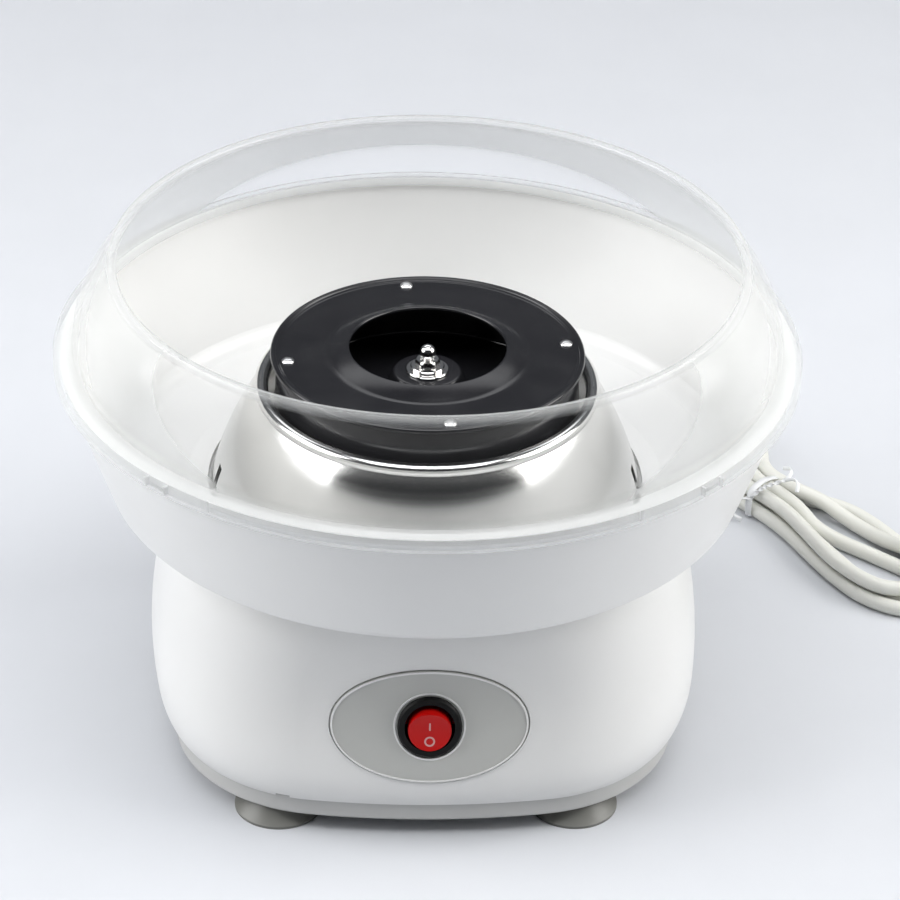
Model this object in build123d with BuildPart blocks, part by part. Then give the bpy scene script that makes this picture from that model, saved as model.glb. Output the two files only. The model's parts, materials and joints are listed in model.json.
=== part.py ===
from build123d import *
import math
import os

os.makedirs("parts", exist_ok=True)

# Tabletop cotton candy machine, in millimetres, +Z up.
# The origin is on the surface it stands on, under the axis of the spinning head.
# The front, with the rocker switch, faces -Y.

# ---------------------------------------------------------------- driving dimensions
# Fits between pieces
touch = 0.05                 # radial play of a shaft or screw in its hole
lip_play = 0.35              # bottom plate's lip inside the housing
barrel_play = 0.2            # round the switch's barrel

# Screw and rivet shanks, by radius
mount_screw_radius = 2.0
cover_screw_radius = 1.5
board_screw_radius = 1.2
rivet_radius = 1.5

# Heights above the table
foot_height = 7.0            # underside of the bottom plate
rim_height = 7.5             # bottom plate's outer rim
deck_height = 92.0           # deck on top of the housing

# Housing
housing_half_width = 101.5   # widest, at the belly
housing_half_depth = 97.3    # deepest, at the heel
hem_tuck = 6.5               # bottom edge inside the widest line
brow_tuck = 10.5             # top edge inside the widest line
heel_rise = 8.5              # heel above the bottom edge
belly_rise = 23.5            # belly above the bottom edge
shoulder_drop = 26.0         # shoulder below the deck
front_lean = 10.0            # degrees the front and rear faces lean back
housing_wall = 2.6
deck_thickness = 3.0
brow_round = 4.0             # bevel round the top edge

# Bottom plate and feet
plate_wall = 2.2
plate_lip_rise = 4.0         # locating lip above the rim
foot_radius = 16.0
foot_x = 53.5
foot_y = 74.0
closing_x = 66.0
closing_y = 42.0
pry_x = -52.0                # pry notch in the front hem

# Control panel and switch
panel_height = 47.3          # height of the panel's centre
panel_width = 70.5
panel_tall = 43.0
panel_depth = 4.2            # recess in the housing
panel_proud = 0.6
panel_groove = 0.5           # groove round the panel
barrel_radius = 10.0
barrel_depth = 17.0
bezel_overhang = 1.5
bezel_thickness = 2.0
bezel_width = 2.55
rocker_play = 1.35           # between the rocker's face and the bezel
rocker_tilt = 8.0            # degrees each side of the middle
pivot_depth = 5.0            # rocker's pivot behind the seat of the bezel

# Bowl
bowl_depth = 58.0            # deck to rim
bowl_opening_play = 1.0      # round the foot of the chamber skirt
bowl_flat_width = 8.0
bowl_turn_radius = 110.0     # where the dished floor turns up into the wall
bowl_foot_radius = 116.5
bowl_rim_radius = 132.6
bowl_wall = 2.4
lug_reach = 3.6
lug_width = 3.0
lug_angle = 8.0              # lugs and slots lie this far forward of the sides

# Splash guard
guard_wall = 1.9
guard_overhang = 2.4         # flange beyond the bowl's rim
guard_foot_tuck = 4.6        # outside of the wall inside the bowl's rim
guard_shoulder_tuck = 8.6
guard_top_tuck = 18.8        # centre of the rolled rim inside the bowl's rim
guard_height = 35.2          # bowl rim to the centre of the rolled rim
guard_shoulder_rise = 21.0
guard_bead_radius = 1.4
guard_skirt_height = 5.7

# Chamber skirt and furnace
skirt_sheet = 0.9
skirt_foot_radius = 79.0
skirt_height = 43.6          # deck to the top of the curl
skirt_curl_width = 5.0
skirt_head_play = 0.8        # between the head's plate and the curl
skirt_shelf = 11.5           # inward shelf at the skirt's foot
pan_sheet = 1.0
pan_flange = 9.0
pan_depth = 6.0
trough_inner_radius = 31.0
trough_outer_radius = 50.0
trough_rise = 11.0           # trough's floor above the deck
trough_wall_height = 12.0
heater_circle = 40.5
heater_radius = 3.0
heater_rise = 18.0           # heater above the deck

# Spinning head
plate_radius = 57.0
plate_sheet = 1.2
pot_rise = 29.5              # underside of the pot above the deck
head_height = 24.9           # underside of the pot to the top of the plate
lip_radius = 28.5
lip_rise = 3.1
cone_foot_radius = 37.5
rivet_inset = 6.0            # rivets from the plate's edge
rivet_turn = 97.5            # angle of the first rivet
pot_flare = 1.2              # the pot is wider at the bottom by this much
pot_wall = 2.0
plateau_rise = 14.7          # hub seat above the underside of the pot
pot_slit = 0.6               # slit under the plate that the sugar leaves by

# Shaft and motor
shaft_radius = 2.5
ball_radius = 3.0
motor_drop = 18.0            # top of the motor's can below the deck
motor_length = 42.0
motor_radius = 22.0
motor_wall = 1.5
bearing_radius = 5.0
bearing_length = 6.0
bracket_sheet = 1.5
mount_offset = 51.0          # bracket screws at this X and Y
fan_radius = 30.0
fan_height = 5.0

# Mains lead
cord_radius = 3.0
gland_radius = 6.0
gland_height = 30.0
sleeve_length = 20.0
hank_x = 144.0
hank_y = 129.0
hank_angle = -42.0           # degrees, towards the open end of the loops
hank_thickness = 15.0
hank_waist = 20.0

# ---------------------------------------------------------------- worked-out values
hem_height = foot_height + rim_height
heel_height = hem_height + heel_rise
belly_height = hem_height + belly_rise
shoulder_height = deck_height - shoulder_drop
bowl_rim_height = deck_height + bowl_depth
bowl_opening_radius = skirt_foot_radius + bowl_opening_play
bowl_flat_radius = bowl_opening_radius + bowl_flat_width
pan_opening_radius = skirt_foot_radius - skirt_shelf - 1.0
pan_flange_radius = pan_opening_radius + pan_flange - 1.0
pan_screw_circle = pan_opening_radius + pan_flange / 2
trough_floor_height = deck_height + trough_rise
heater_height = deck_height + heater_rise
pot_floor_height = deck_height + pot_rise
pot_plateau_height = pot_floor_height + plateau_rise
plate_level = pot_floor_height + head_height
ball_height = plate_level + 0.2
rivet_circle = plate_radius - rivet_inset
pot_top_radius = plate_radius - 2.4
pot_bottom_radius = pot_top_radius + pot_flare
skirt_curl_radius = plate_radius + skirt_head_play + skirt_curl_width / 2
motor_top = deck_height - motor_drop
motor_bottom = motor_top - motor_length
bezel_radius = barrel_radius + bezel_overhang
rocker_opening = bezel_radius - bezel_width
rocker_radius = rocker_opening - rocker_play
lean = math.tan(math.radians(front_lean))
plate_floor = foot_height + plate_wall
brow_height = deck_height - brow_round
skirt_base = deck_height + skirt_sheet
pan_base = skirt_base + pan_sheet
pan_floor = deck_height - pan_depth + pan_sheet
cap_top = motor_top + 2.0
bracket_top = cap_top + bracket_sheet
front_normal = (0, -math.cos(math.radians(front_lean)), math.sin(math.radians(front_lean)))


def front_at(height):
    """Distance of the leaning front face from the spin axis at a height."""
    return housing_half_depth - (height - heel_height) * lean


def save(node, name):
    """Label a finished piece and write it to its own file."""
    node.part.label = name
    export_step(node.part, "parts/" + name + ".step")


def screw(head_radius, head_height, shank_radius, shank_length):
    """Screw with its head's underside at the origin and its shank downwards."""
    with BuildPart() as one:
        with BuildSketch(Plane.XZ):
            with BuildLine():
                Polyline((0, head_height), (head_radius * 0.7, head_height), (head_radius, head_height * 0.4),
                         (head_radius, 0), (shank_radius, 0), (shank_radius, -shank_length),
                         (0, -shank_length), close=True)
            make_face()
        revolve(axis=Axis.Z)
    return one.part


# ---------------------------------------------------------------- housing
def housing_outline(height, side, front, bow, corner, inset=0.0):
    """Rounded-square outline of the housing, its four sides bowed outwards."""
    half_side = side - inset
    half_front = front - inset
    x = half_side - bow
    y = half_front - bow
    with BuildSketch(Plane.XY.offset(height)) as outline:
        with BuildLine():
            ThreePointArc((-x, -y), (0, -half_front), (x, -y))
            ThreePointArc((x, -y), (half_side, 0), (x, y))
            ThreePointArc((x, y), (0, half_front), (-x, y))
            ThreePointArc((-x, y), (-half_side, 0), (-x, -y))
        make_face()
        fillet(outline.vertices(), corner - inset)
    return outline.sketch


# height, half width, half depth, bow of the sides, corner radius
hem = (hem_height, housing_half_width - hem_tuck, housing_half_depth - 2.3, 12.4, 58.0)
heel = (heel_height, housing_half_width - 2.3, housing_half_depth, 12.4, 60.0)
belly = (belly_height, housing_half_width, front_at(belly_height), 13.0, 61.0)
shoulder = (shoulder_height, housing_half_width - 3.5, front_at(shoulder_height), 14.5, 63.0)
brow = (brow_height, housing_half_width - brow_tuck, front_at(brow_height), 16.5, 66.0)
crown = (deck_height,) + brow[1:]
stations = (hem, heel, belly, shoulder, brow)

with BuildPart() as housing_form:
    loft(sections=[housing_outline(*station) for station in stations])
    loft(sections=[housing_outline(*brow), housing_outline(*crown, inset=brow_round)], ruled=True)

# The panel's own plane, with its origin on the housing's face
panel_plane = Plane(origin=(0, -front_at(panel_height), panel_height), x_dir=(1, 0, 0), z_dir=front_normal)
seat_level = panel_proud - 0.7
seat_plane = panel_plane.offset(seat_level)
rear_normal = (0, -front_normal[1], front_normal[2])
gland_plane = Plane(origin=(0, front_at(gland_height), gland_height), x_dir=(-1, 0, 0), z_dir=rear_normal)
lug_turns = (-lug_angle, 180 + lug_angle)
mount_spots = [(sx * mount_offset, sy * mount_offset) for sx in (1, -1) for sy in (1, -1)]
closing_spots = [(sx * closing_x, sy * closing_y) for sx in (1, -1) for sy in (1, -1)]
mount_boss_bottom = bracket_top + 2.5
closing_boss_bottom = plate_floor + 4.3
mount_boss_radius = mount_screw_radius + 2.6
closing_boss_radius = cover_screw_radius + 3.0
boss_top = deck_height - 1.0

with BuildPart() as posts:
    with BuildSketch(Plane.XY.offset(mount_boss_bottom)):
        with Locations(*mount_spots):
            Circle(mount_boss_radius)
    extrude(amount=boss_top - mount_boss_bottom)
    with BuildSketch(Plane.XY.offset(closing_boss_bottom)):
        with Locations(*closing_spots):
            Circle(closing_boss_radius)
    extrude(amount=boss_top - closing_boss_bottom)
    web_bottom = hem_height + plate_lip_rise + 4.0
    for sx, sy in ((1, 1), (1, -1), (-1, 1), (-1, -1)):
        with BuildSketch(Plane.XY.offset(web_bottom)):
            with Locations((sx * (closing_x + 20.0), sy * closing_y)):
                Rectangle(40.0, 1.8)
        extrude(amount=boss_top - web_bottom)
    with BuildSketch(Plane.XY.offset(deck_height - 9.0)):
        with PolarLocations(pan_screw_circle, 4):
            Circle(cover_screw_radius + 1.9)
    extrude(amount=boss_top - deck_height + 9.0)
    add(housing_form.part, mode=Mode.INTERSECT)

with BuildPart() as base_shell:
    add(housing_form.part)
    inner = [housing_outline(*station, inset=housing_wall) for station in stations[:-1]]
    inner.append(housing_outline(deck_height - deck_thickness, *brow[1:], inset=housing_wall + 1.0))
    loft(sections=inner, mode=Mode.SUBTRACT)
    # thickened seat behind the control panel
    with BuildPart(mode=Mode.PRIVATE) as panel_seat:
        with BuildSketch(panel_plane.offset(-panel_depth - 2.4)):
            Ellipse(panel_width / 2 + 3.0, panel_tall / 2 + 3.0)
        extrude(amount=panel_depth + 8.0)
        add(housing_form.part, mode=Mode.INTERSECT)
    add(panel_seat.part)
    add(posts.part)
    with BuildSketch(panel_plane.offset(-panel_depth)):
        Ellipse(panel_width / 2 + panel_groove, panel_tall / 2 + panel_groove)
    extrude(amount=panel_depth + 8.0, mode=Mode.SUBTRACT)
    with BuildSketch(panel_plane.offset(-panel_depth - 8.0)):
        Circle(barrel_radius + barrel_play)
    extrude(amount=10.0, mode=Mode.SUBTRACT)
    # opening for the furnace pan
    with BuildSketch(Plane.XY.offset(deck_height)):
        Circle(pan_opening_radius)
    extrude(amount=-deck_thickness - 1.0, mode=Mode.SUBTRACT)
    # small notch in the hem for prying the bottom plate off
    with Locations((pry_x, -hem[2], hem_height)):
        Box(5.0, 24.0, 2.8, mode=Mode.SUBTRACT)
    # screw holes
    with BuildSketch(Plane.XY.offset(mount_boss_bottom)):
        with Locations(*mount_spots):
            Circle(mount_screw_radius + touch)
    extrude(amount=6.5, mode=Mode.SUBTRACT)
    with BuildSketch(Plane.XY.offset(closing_boss_bottom)):
        with Locations(*closing_spots):
            Circle(cover_screw_radius + touch)
    extrude(amount=12.5, mode=Mode.SUBTRACT)
    with BuildSketch(Plane.XY.offset(deck_height)):
        with PolarLocations(pan_screw_circle, 4):
            Circle(cover_screw_radius + touch)
    extrude(amount=-7.5, mode=Mode.SUBTRACT)
    # hole for the cord gland in the rear wall
    with BuildSketch(gland_plane.offset(-8.0)):
        Circle(gland_radius + touch)
    extrude(amount=12.0, mode=Mode.SUBTRACT)
    with BuildSketch(gland_plane.offset(-0.5)):
        Circle(gland_radius + 2.6)
    extrude(amount=6.0, mode=Mode.SUBTRACT)
save(base_shell, "base_shell")

# ---------------------------------------------------------------- bottom plate
hem_shape = hem[1:]
board_x = -38.0
board_y = 28.0
board_level = 16.0
board_posts = [(board_x - 17.0, board_y), (board_x + 17.0, board_y)]
clamp_y = 68.0
clamp_level = gland_height - (front_at(gland_height) - clamp_y) * lean
clamp_posts = [(-10.4, clamp_y), (10.4, clamp_y)]
closing_head_radius = 3.4
closing_recess = 2.6
foot_spigot_radius = 3.2
above = (Align.CENTER, Align.CENTER, Align.MIN)
with BuildPart() as bottom_plate:
    with BuildSketch(Plane.XY.offset(foot_height)):
        add(housing_outline(0, *hem_shape, inset=0.6))
    extrude(amount=rim_height)
    fillet(bottom_plate.faces().sort_by(Axis.Z)[0].edges(), 1.4)
    with BuildSketch(Plane.XY.offset(plate_floor)):
        add(housing_outline(0, *hem_shape, inset=0.6 + plate_wall))
    extrude(amount=rim_height, mode=Mode.SUBTRACT)
    # lip that locates the plate inside the housing
    lip_inset = housing_wall + lip_play
    with BuildSketch(Plane.XY.offset(plate_floor - 0.5)):
        add(housing_outline(0, *hem_shape, inset=lip_inset))
        add(housing_outline(0, *hem_shape, inset=lip_inset + 1.6), mode=Mode.SUBTRACT)
    extrude(amount=0.5 + hem_height - plate_floor + plate_lip_rise)
    # bosses for the closing screws, the board, the terminal block and the cord clamp
    with BuildSketch(Plane.XY.offset(plate_floor - 0.5)):
        with Locations(*closing_spots):
            Circle(closing_boss_radius + 1.1)
    extrude(amount=closing_boss_bottom - plate_floor + 0.5)
    with BuildSketch(Plane.XY.offset(plate_floor - 0.5)):
        with Locations(*board_posts):
            Circle(board_screw_radius + 1.8)
    extrude(amount=board_level - plate_floor + 0.5)
    with BuildSketch(Plane.XY.offset(plate_floor - 0.5)):
        with Locations(*clamp_posts):
            Circle(cover_screw_radius + 2.1)
        with Locations((0, clamp_y)):
            Rectangle(14.0, 7.0)
    extrude(amount=clamp_level - cord_radius - 0.8 - plate_floor + 0.5)
    with BuildSketch(Plane.XY.offset(clamp_level - 5.0)):
        with Locations(*clamp_posts):
            Circle(cover_screw_radius + 2.1)
    extrude(amount=5.0)
    with Locations(*[(x, y, foot_height) for x, y in closing_spots]):
        Cylinder(closing_head_radius + 0.5, closing_recess, align=above, mode=Mode.SUBTRACT)
        Cylinder(cover_screw_radius + touch, 12.0, align=above, mode=Mode.SUBTRACT)
    with Locations(*[(x, y, board_level) for x, y in board_posts]):
        Cylinder(board_screw_radius + touch, 12.0, mode=Mode.SUBTRACT)
    with Locations(*[(x, y, clamp_level) for x, y in clamp_posts]):
        Cylinder(cover_screw_radius + touch, 18.0, mode=Mode.SUBTRACT)
    with Locations(*[(sx * foot_x, sy * foot_y, foot_height) for sx in (1, -1) for sy in (1, -1)]):
        Cylinder(foot_spigot_radius + touch, 8.0, mode=Mode.SUBTRACT)
    # two banks of air slots under the motor
    with BuildSketch(Plane.XY.offset(foot_height)):
        for x in (-17.0, 17.0):
            with Locations((x, 0)):
                with GridLocations(28.0, 6.2, 1, 7):
                    SlotOverall(26.0, 2.8)
    extrude(amount=plate_wall, mode=Mode.SUBTRACT)
save(bottom_plate, "bottom_plate")

plate_screw = screw(closing_head_radius, 2.0, cover_screw_radius, 15.0)
with BuildPart() as plate_screws:
    for x, y in closing_spots:
        add(plate_screw.moved(Location((x, y, foot_height + closing_recess), (180, 0, 0))))
save(plate_screws, "plate_screws")

# ---------------------------------------------------------------- suction feet
foot_names = {(-1, -1): "foot_front_left", (1, -1): "foot_front_right",
              (-1, 1): "foot_rear_left", (1, 1): "foot_rear_right"}
for (sx, sy), foot_name in foot_names.items():
    with BuildPart() as foot:
        with BuildSketch(Plane.XZ):
            with BuildLine():
                Polyline((0, 3.2), (0, plate_floor + 2.4), (2.0, plate_floor + 2.4),
                         (foot_spigot_radius + 1.2, plate_floor + 0.4), (foot_spigot_radius + 1.2, plate_floor),
                         (foot_spigot_radius, plate_floor), (foot_spigot_radius, foot_height),
                         (11.0, foot_height), (11.6, foot_height - 0.8))
                ThreePointArc((11.6, foot_height - 0.8), (14.0, 3.0), (foot_radius, 1.0))
                Polyline((foot_radius, 1.0), (foot_radius, 0.0), (foot_radius - 1.4, 0.0))
                ThreePointArc((foot_radius - 1.4, 0.0), (8.0, 2.3), (1.5, 3.2))
                Line((1.5, 3.2), (0, 3.2))
            make_face()
        revolve(axis=Axis.Z)
    foot.part.position = (sx * foot_x, sy * foot_y, 0)
    save(foot, foot_name)

# ---------------------------------------------------------------- control panel
with BuildPart() as control_panel:
    with BuildSketch(panel_plane.offset(-panel_depth)):
        Ellipse(panel_width / 2, panel_tall / 2)
    extrude(amount=panel_depth + 8.0)
    proud = tuple(panel_proud * part for part in front_normal)
    add(housing_form.part.moved(Location(proud)), mode=Mode.INTERSECT)
    # flat seat for the switch
    with BuildSketch(seat_plane):
        Circle(bezel_radius + 0.6)
    extrude(amount=6.0, mode=Mode.SUBTRACT)
    with BuildSketch(seat_plane.offset(-10.0)):
        Circle(barrel_radius + barrel_play)
    extrude(amount=16.0, mode=Mode.SUBTRACT)
save(control_panel, "control_panel")

# ---------------------------------------------------------------- switch
with BuildPart() as switch_body:
    with BuildSketch(seat_plane):
        Circle(bezel_radius)
    extrude(amount=bezel_thickness)
    chamfer(switch_body.faces().sort_by(Axis((0, 0, 0), front_normal))[-1].edges(), 0.6)
    with BuildSketch(seat_plane):
        Circle(barrel_radius)
    extrude(amount=-barrel_depth)
    # two sprung wedges that hold the barrel behind the panel
    for side in (1, -1):
        with BuildSketch(seat_plane.offset(-9.0)):
            with Locations((side * (barrel_radius + 0.3), 0)):
                Rectangle(2.4, 5.0)
        extrude(amount=-4.0)
    with BuildSketch(seat_plane.offset(bezel_thickness)):
        Circle(rocker_opening)
    extrude(amount=-bezel_thickness - 13.0, mode=Mode.SUBTRACT)
    pivot_plane = Plane(seat_plane.offset(-pivot_depth).origin, x_dir=(0, 1, 0), z_dir=(1, 0, 0))
    with BuildSketch(pivot_plane.offset(-9.6)):
        Circle(1.2 + touch)
    extrude(amount=19.2, mode=Mode.SUBTRACT)
save(switch_body, "switch_body")

with BuildPart() as switch_terminals:
    for drop in (-6.0, 6.0):
        with BuildSketch(seat_plane.offset(-barrel_depth)):
            with Locations((0, drop)):
                Rectangle(4.8, 0.8)
        extrude(amount=-8.0)
save(switch_terminals, "switch_terminals")

rocker_plane = seat_plane.offset(-pivot_depth)
face_rise = 8.4
with BuildPart() as rocker:
    # round paddle that narrows towards its face, dished from top to bottom
    with BuildSketch(rocker_plane.offset(-1.0)):
        Circle(rocker_radius + 0.4)
    extrude(amount=face_rise + 1.0, taper=2.4)
    dish_radius = 29.0
    dish_centre = rocker_plane.offset(face_rise - 1.0 + dish_radius).origin
    dish_plane = Plane(dish_centre, x_dir=(0, 1, 0), z_dir=(1, 0, 0))
    with BuildSketch(dish_plane.offset(-12.0)):
        Circle(dish_radius)
    extrude(amount=24.0, mode=Mode.SUBTRACT)
    with BuildSketch(rocker_plane.offset(-1.0)):
        Rectangle(8.0, 4.0)
    extrude(amount=-5.5)
    with BuildSketch(pivot_plane.offset(-9.4)):
        Circle(1.2)
    extrude(amount=18.8)
pivot_axis = Axis(rocker_plane.origin, (1, 0, 0))
rocker.part = rocker.part.rotate(pivot_axis, rocker_tilt)
save(rocker, "rocker")

# ---------------------------------------------------------------- bowl
bowl_floor_top = deck_height + bowl_wall
bowl_foot_rise = bowl_foot_radius - bowl_turn_radius
bowl_middle_radius = (bowl_foot_radius + bowl_rim_radius) / 2
turn_height = deck_height + 5.0
foot_level = turn_height + 4.4
middle_height = (foot_level + bowl_rim_height) / 2
with BuildPart() as bowl:
    with BuildSketch(Plane.XZ):
        with BuildLine():
            Polyline((bowl_opening_radius, bowl_floor_top), (bowl_opening_radius, deck_height),
                     (bowl_flat_radius, deck_height), (bowl_turn_radius, turn_height))
            ThreePointArc((bowl_turn_radius, turn_height),
                          (bowl_turn_radius + bowl_foot_rise * 0.62, turn_height + 1.6),
                          (bowl_foot_radius, foot_level))
            ThreePointArc((bowl_foot_radius, foot_level),
                          (bowl_middle_radius - 0.6, middle_height - 3.0),
                          (bowl_rim_radius - 1.3, bowl_rim_height - 4.0))
            Polyline((bowl_rim_radius - 1.3, bowl_rim_height - 4.0), (bowl_rim_radius, bowl_rim_height - 2.2),
                     (bowl_rim_radius, bowl_rim_height), (bowl_rim_radius - 4.0, bowl_rim_height))
            ThreePointArc((bowl_rim_radius - 4.0, bowl_rim_height),
                          (bowl_middle_radius - bowl_wall - 2.6, middle_height),
                          (bowl_foot_radius - bowl_wall - 1.2, foot_level + 3.0))
            ThreePointArc((bowl_foot_radius - bowl_wall - 1.2, foot_level + 3.0),
                          (bowl_turn_radius + 0.6, turn_height + 3.9),
                          (bowl_turn_radius - 2.6, turn_height + 1.9))
            Polyline((bowl_turn_radius - 2.6, turn_height + 1.9), (bowl_flat_radius - 0.5, bowl_floor_top),
                     (bowl_opening_radius, bowl_floor_top))
        make_face()
    revolve(axis=Axis.Z)
    for turn in lug_turns:
        with BuildSketch(Plane.XY.offset(deck_height)):
            with Locations(Location((0, 0, 0), turn)):
                with Locations((bowl_opening_radius - lug_reach / 2 + 0.5, 0)):
                    Rectangle(lug_reach + 1.0, lug_width)
        extrude(amount=bowl_wall)
save(bowl, "bowl")

# ---------------------------------------------------------------- splash guard
guard_seat = bowl_rim_height
guard_flange_radius = bowl_rim_radius + guard_overhang
guard_foot_radius = bowl_rim_radius - guard_foot_tuck
guard_shoulder_radius = bowl_rim_radius - guard_shoulder_tuck
guard_top_radius = bowl_rim_radius - guard_top_tuck
flange_top = guard_seat + guard_wall
guard_rim_height = guard_seat + guard_height
foot_point = Vector(guard_foot_radius, flange_top + 2.0)
shoulder_point = Vector(guard_shoulder_radius, guard_seat + guard_shoulder_rise)
top_point = Vector(guard_top_radius + 0.5, guard_rim_height - 0.7)


def circle_centre(first, second, third):
    """Centre of the circle through three points of a plane."""
    ax, ay = second.X - first.X, second.Y - first.Y
    bx, by = third.X - first.X, third.Y - first.Y
    twice = 2 * (ax * by - ay * bx)
    a2 = ax * ax + ay * ay
    b2 = bx * bx + by * by
    return Vector(first.X + (by * a2 - ay * b2) / twice, first.Y + (ax * b2 - bx * a2) / twice)


wall_centre = circle_centre(foot_point, shoulder_point, top_point)


def inner_side(point, thickness):
    """Point moved towards the wall's centre of curvature by a thickness."""
    towards = wall_centre - point
    return point + towards * (thickness / towards.length)


foot_inner = inner_side(foot_point, guard_wall)
shoulder_inner = inner_side(shoulder_point, guard_wall)
top_inner = inner_side(top_point, guard_wall)
skirt_bottom = flange_top - guard_skirt_height
skirt_inner_radius = guard_flange_radius - guard_wall
with BuildPart() as splash_guard:
    with BuildSketch(Plane.XZ):
        with BuildLine():
            Polyline((guard_flange_radius, skirt_bottom), (guard_flange_radius, flange_top - 1.2))
            ThreePointArc((guard_flange_radius, flange_top - 1.2),
                          (guard_flange_radius - 0.35, flange_top - 0.35),
                          (guard_flange_radius - 1.2, flange_top))
            Polyline((guard_flange_radius - 1.2, flange_top), (guard_foot_radius + 1.6, flange_top))
            ThreePointArc((guard_foot_radius + 1.6, flange_top),
                          (guard_foot_radius + 0.45, flange_top + 0.6), (foot_point.X, foot_point.Y))
            ThreePointArc((foot_point.X, foot_point.Y), (shoulder_point.X, shoulder_point.Y),
                          (top_point.X, top_point.Y))
            Line((top_point.X, top_point.Y), (top_inner.X, top_inner.Y))
            ThreePointArc((top_inner.X, top_inner.Y), (shoulder_inner.X, shoulder_inner.Y),
                          (foot_inner.X, foot_inner.Y))
            Polyline((foot_inner.X, foot_inner.Y), (foot_inner.X, guard_seat), (skirt_inner_radius, guard_seat),
                     (skirt_inner_radius, skirt_bottom), (guard_flange_radius, skirt_bottom))
        make_face()
        with Locations((guard_top_radius - 0.3, guard_rim_height)):
            Circle(guard_bead_radius)
    revolve(axis=Axis.Z)
    # slits each side of the four snap tabs, and the nub on each tab
    for quarter in range(4):
        turn = 45 + 90 * quarter
        with BuildSketch(Plane.XY.offset(skirt_bottom - 1.0)):
            with Locations(Location((0, 0, 0), turn)):
                with Locations((guard_flange_radius, -4.6), (guard_flange_radius, 4.6)):
                    Rectangle(8.0, 1.0)
        extrude(amount=4.2, mode=Mode.SUBTRACT)
        with BuildSketch(Plane.XY.offset(skirt_bottom - 1.6)):
            with Locations(Location((0, 0, 0), turn)):
                with Locations((guard_flange_radius - 1.0, 0)):
                    Rectangle(1.7, 7.0)
        extrude(amount=2.4)
save(splash_guard, "splash_guard")

# ---------------------------------------------------------------- chamber skirt
curl_inner = skirt_curl_radius - skirt_curl_width / 2
curl_outer = skirt_curl_radius + skirt_curl_width / 2
curl_top = deck_height + skirt_height
curl_low = curl_top - 2.4
neck = (curl_outer - 0.6, curl_low - 1.6)
with BuildPart() as chamber_skirt:
    with BuildSketch(Plane.XZ):
        with BuildLine() as skirt_line:
            Line((curl_inner, curl_low - 1.4), (curl_inner, curl_low))
            ThreePointArc((curl_inner, curl_low), (skirt_curl_radius, curl_top), (curl_outer, curl_low))
            Line((curl_outer, curl_low), neck)
            Polyline(neck, (skirt_foot_radius, deck_height + 1.4), (skirt_foot_radius - 1.4, deck_height),
                     (pan_opening_radius + 1.0, deck_height))
            offset(skirt_line.line, amount=skirt_sheet, side=Side.RIGHT)
        make_face()
    revolve(axis=Axis.Z)
    # slots the bowl's lugs drop into, open at the foot
    for turn in lug_turns:
        with BuildSketch(Plane.XY.offset(deck_height - 1.0)):
            with Locations(Location((0, 0, 0), turn)):
                with Locations((skirt_foot_radius + 1.0, 0)):
                    Rectangle(9.6, lug_width + 1.6)
        extrude(amount=10.5, mode=Mode.SUBTRACT)
    with BuildSketch(Plane.XY.offset(deck_height - 1.0)):
        with PolarLocations(pan_screw_circle, 4):
            Circle(cover_screw_radius + touch)
    extrude(amount=3.0, mode=Mode.SUBTRACT)
save(chamber_skirt, "chamber_skirt")

# ---------------------------------------------------------------- furnace
tail_angles = (80.0, 100.0)
tail_spots = [(heater_circle * math.cos(math.radians(turn)), heater_circle * math.sin(math.radians(turn)))
              for turn in tail_angles]
with BuildPart() as furnace_pan:
    wall_radius = pan_opening_radius - 1.2
    with BuildSketch(Plane.XZ):
        with BuildLine():
            Polyline((9.0, pan_floor - pan_sheet), (wall_radius, pan_floor - pan_sheet), (wall_radius, skirt_base),
                     (pan_flange_radius, skirt_base), (pan_flange_radius, pan_base),
                     (wall_radius - pan_sheet, pan_base), (wall_radius - pan_sheet, pan_floor), (10.0, pan_floor),
                     (10.0, pan_floor + 4.0), (9.0, pan_floor + 4.0), close=True)
        make_face()
    revolve(axis=Axis.Z)
    with BuildSketch(Plane.XY.offset(skirt_base - 1.0)):
        with PolarLocations(pan_screw_circle, 4):
            Circle(cover_screw_radius + touch)
    extrude(amount=3.0, mode=Mode.SUBTRACT)
    # holes for the ends of the heater
    with BuildSketch(Plane.XY.offset(pan_floor - 2.0)):
        with Locations(*tail_spots):
            Circle(heater_radius + 1.5)
    extrude(amount=4.0, mode=Mode.SUBTRACT)
save(furnace_pan, "furnace_pan")

pan_screw = screw(3.0, 1.8, cover_screw_radius, 7.5)
with BuildPart() as furnace_screws:
    for turn in (0, 90, 180, 270):
        across = pan_screw_circle * math.cos(math.radians(turn))
        along = pan_screw_circle * math.sin(math.radians(turn))
        add(pan_screw.moved(Location((across, along, pan_base))))
save(furnace_screws, "furnace_screws")

trough_top = trough_floor_height + trough_wall_height
with BuildPart() as heater_trough:
    with BuildSketch(Plane.XZ):
        with BuildLine():
            Polyline((trough_inner_radius, trough_floor_height), (trough_outer_radius, trough_floor_height),
                     (trough_outer_radius, trough_top), (trough_outer_radius - pan_sheet, trough_top),
                     (trough_outer_radius - pan_sheet, trough_floor_height + pan_sheet),
                     (trough_inner_radius + pan_sheet, trough_floor_height + pan_sheet),
                     (trough_inner_radius + pan_sheet, trough_top), (trough_inner_radius, trough_top), close=True)
        make_face()
    revolve(axis=Axis.Z)
    with BuildSketch(Plane.XY.offset(trough_floor_height - 1.0)):
        with Locations(*tail_spots):
            Circle(heater_radius + 0.5)
    extrude(amount=3.0, mode=Mode.SUBTRACT)
    with BuildSketch(Plane.XY.offset(pan_floor)):
        with PolarLocations(heater_circle, 3, start_angle=30.0):
            Circle(2.5)
    extrude(amount=trough_floor_height - pan_floor)
save(heater_trough, "heater_trough")

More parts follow.
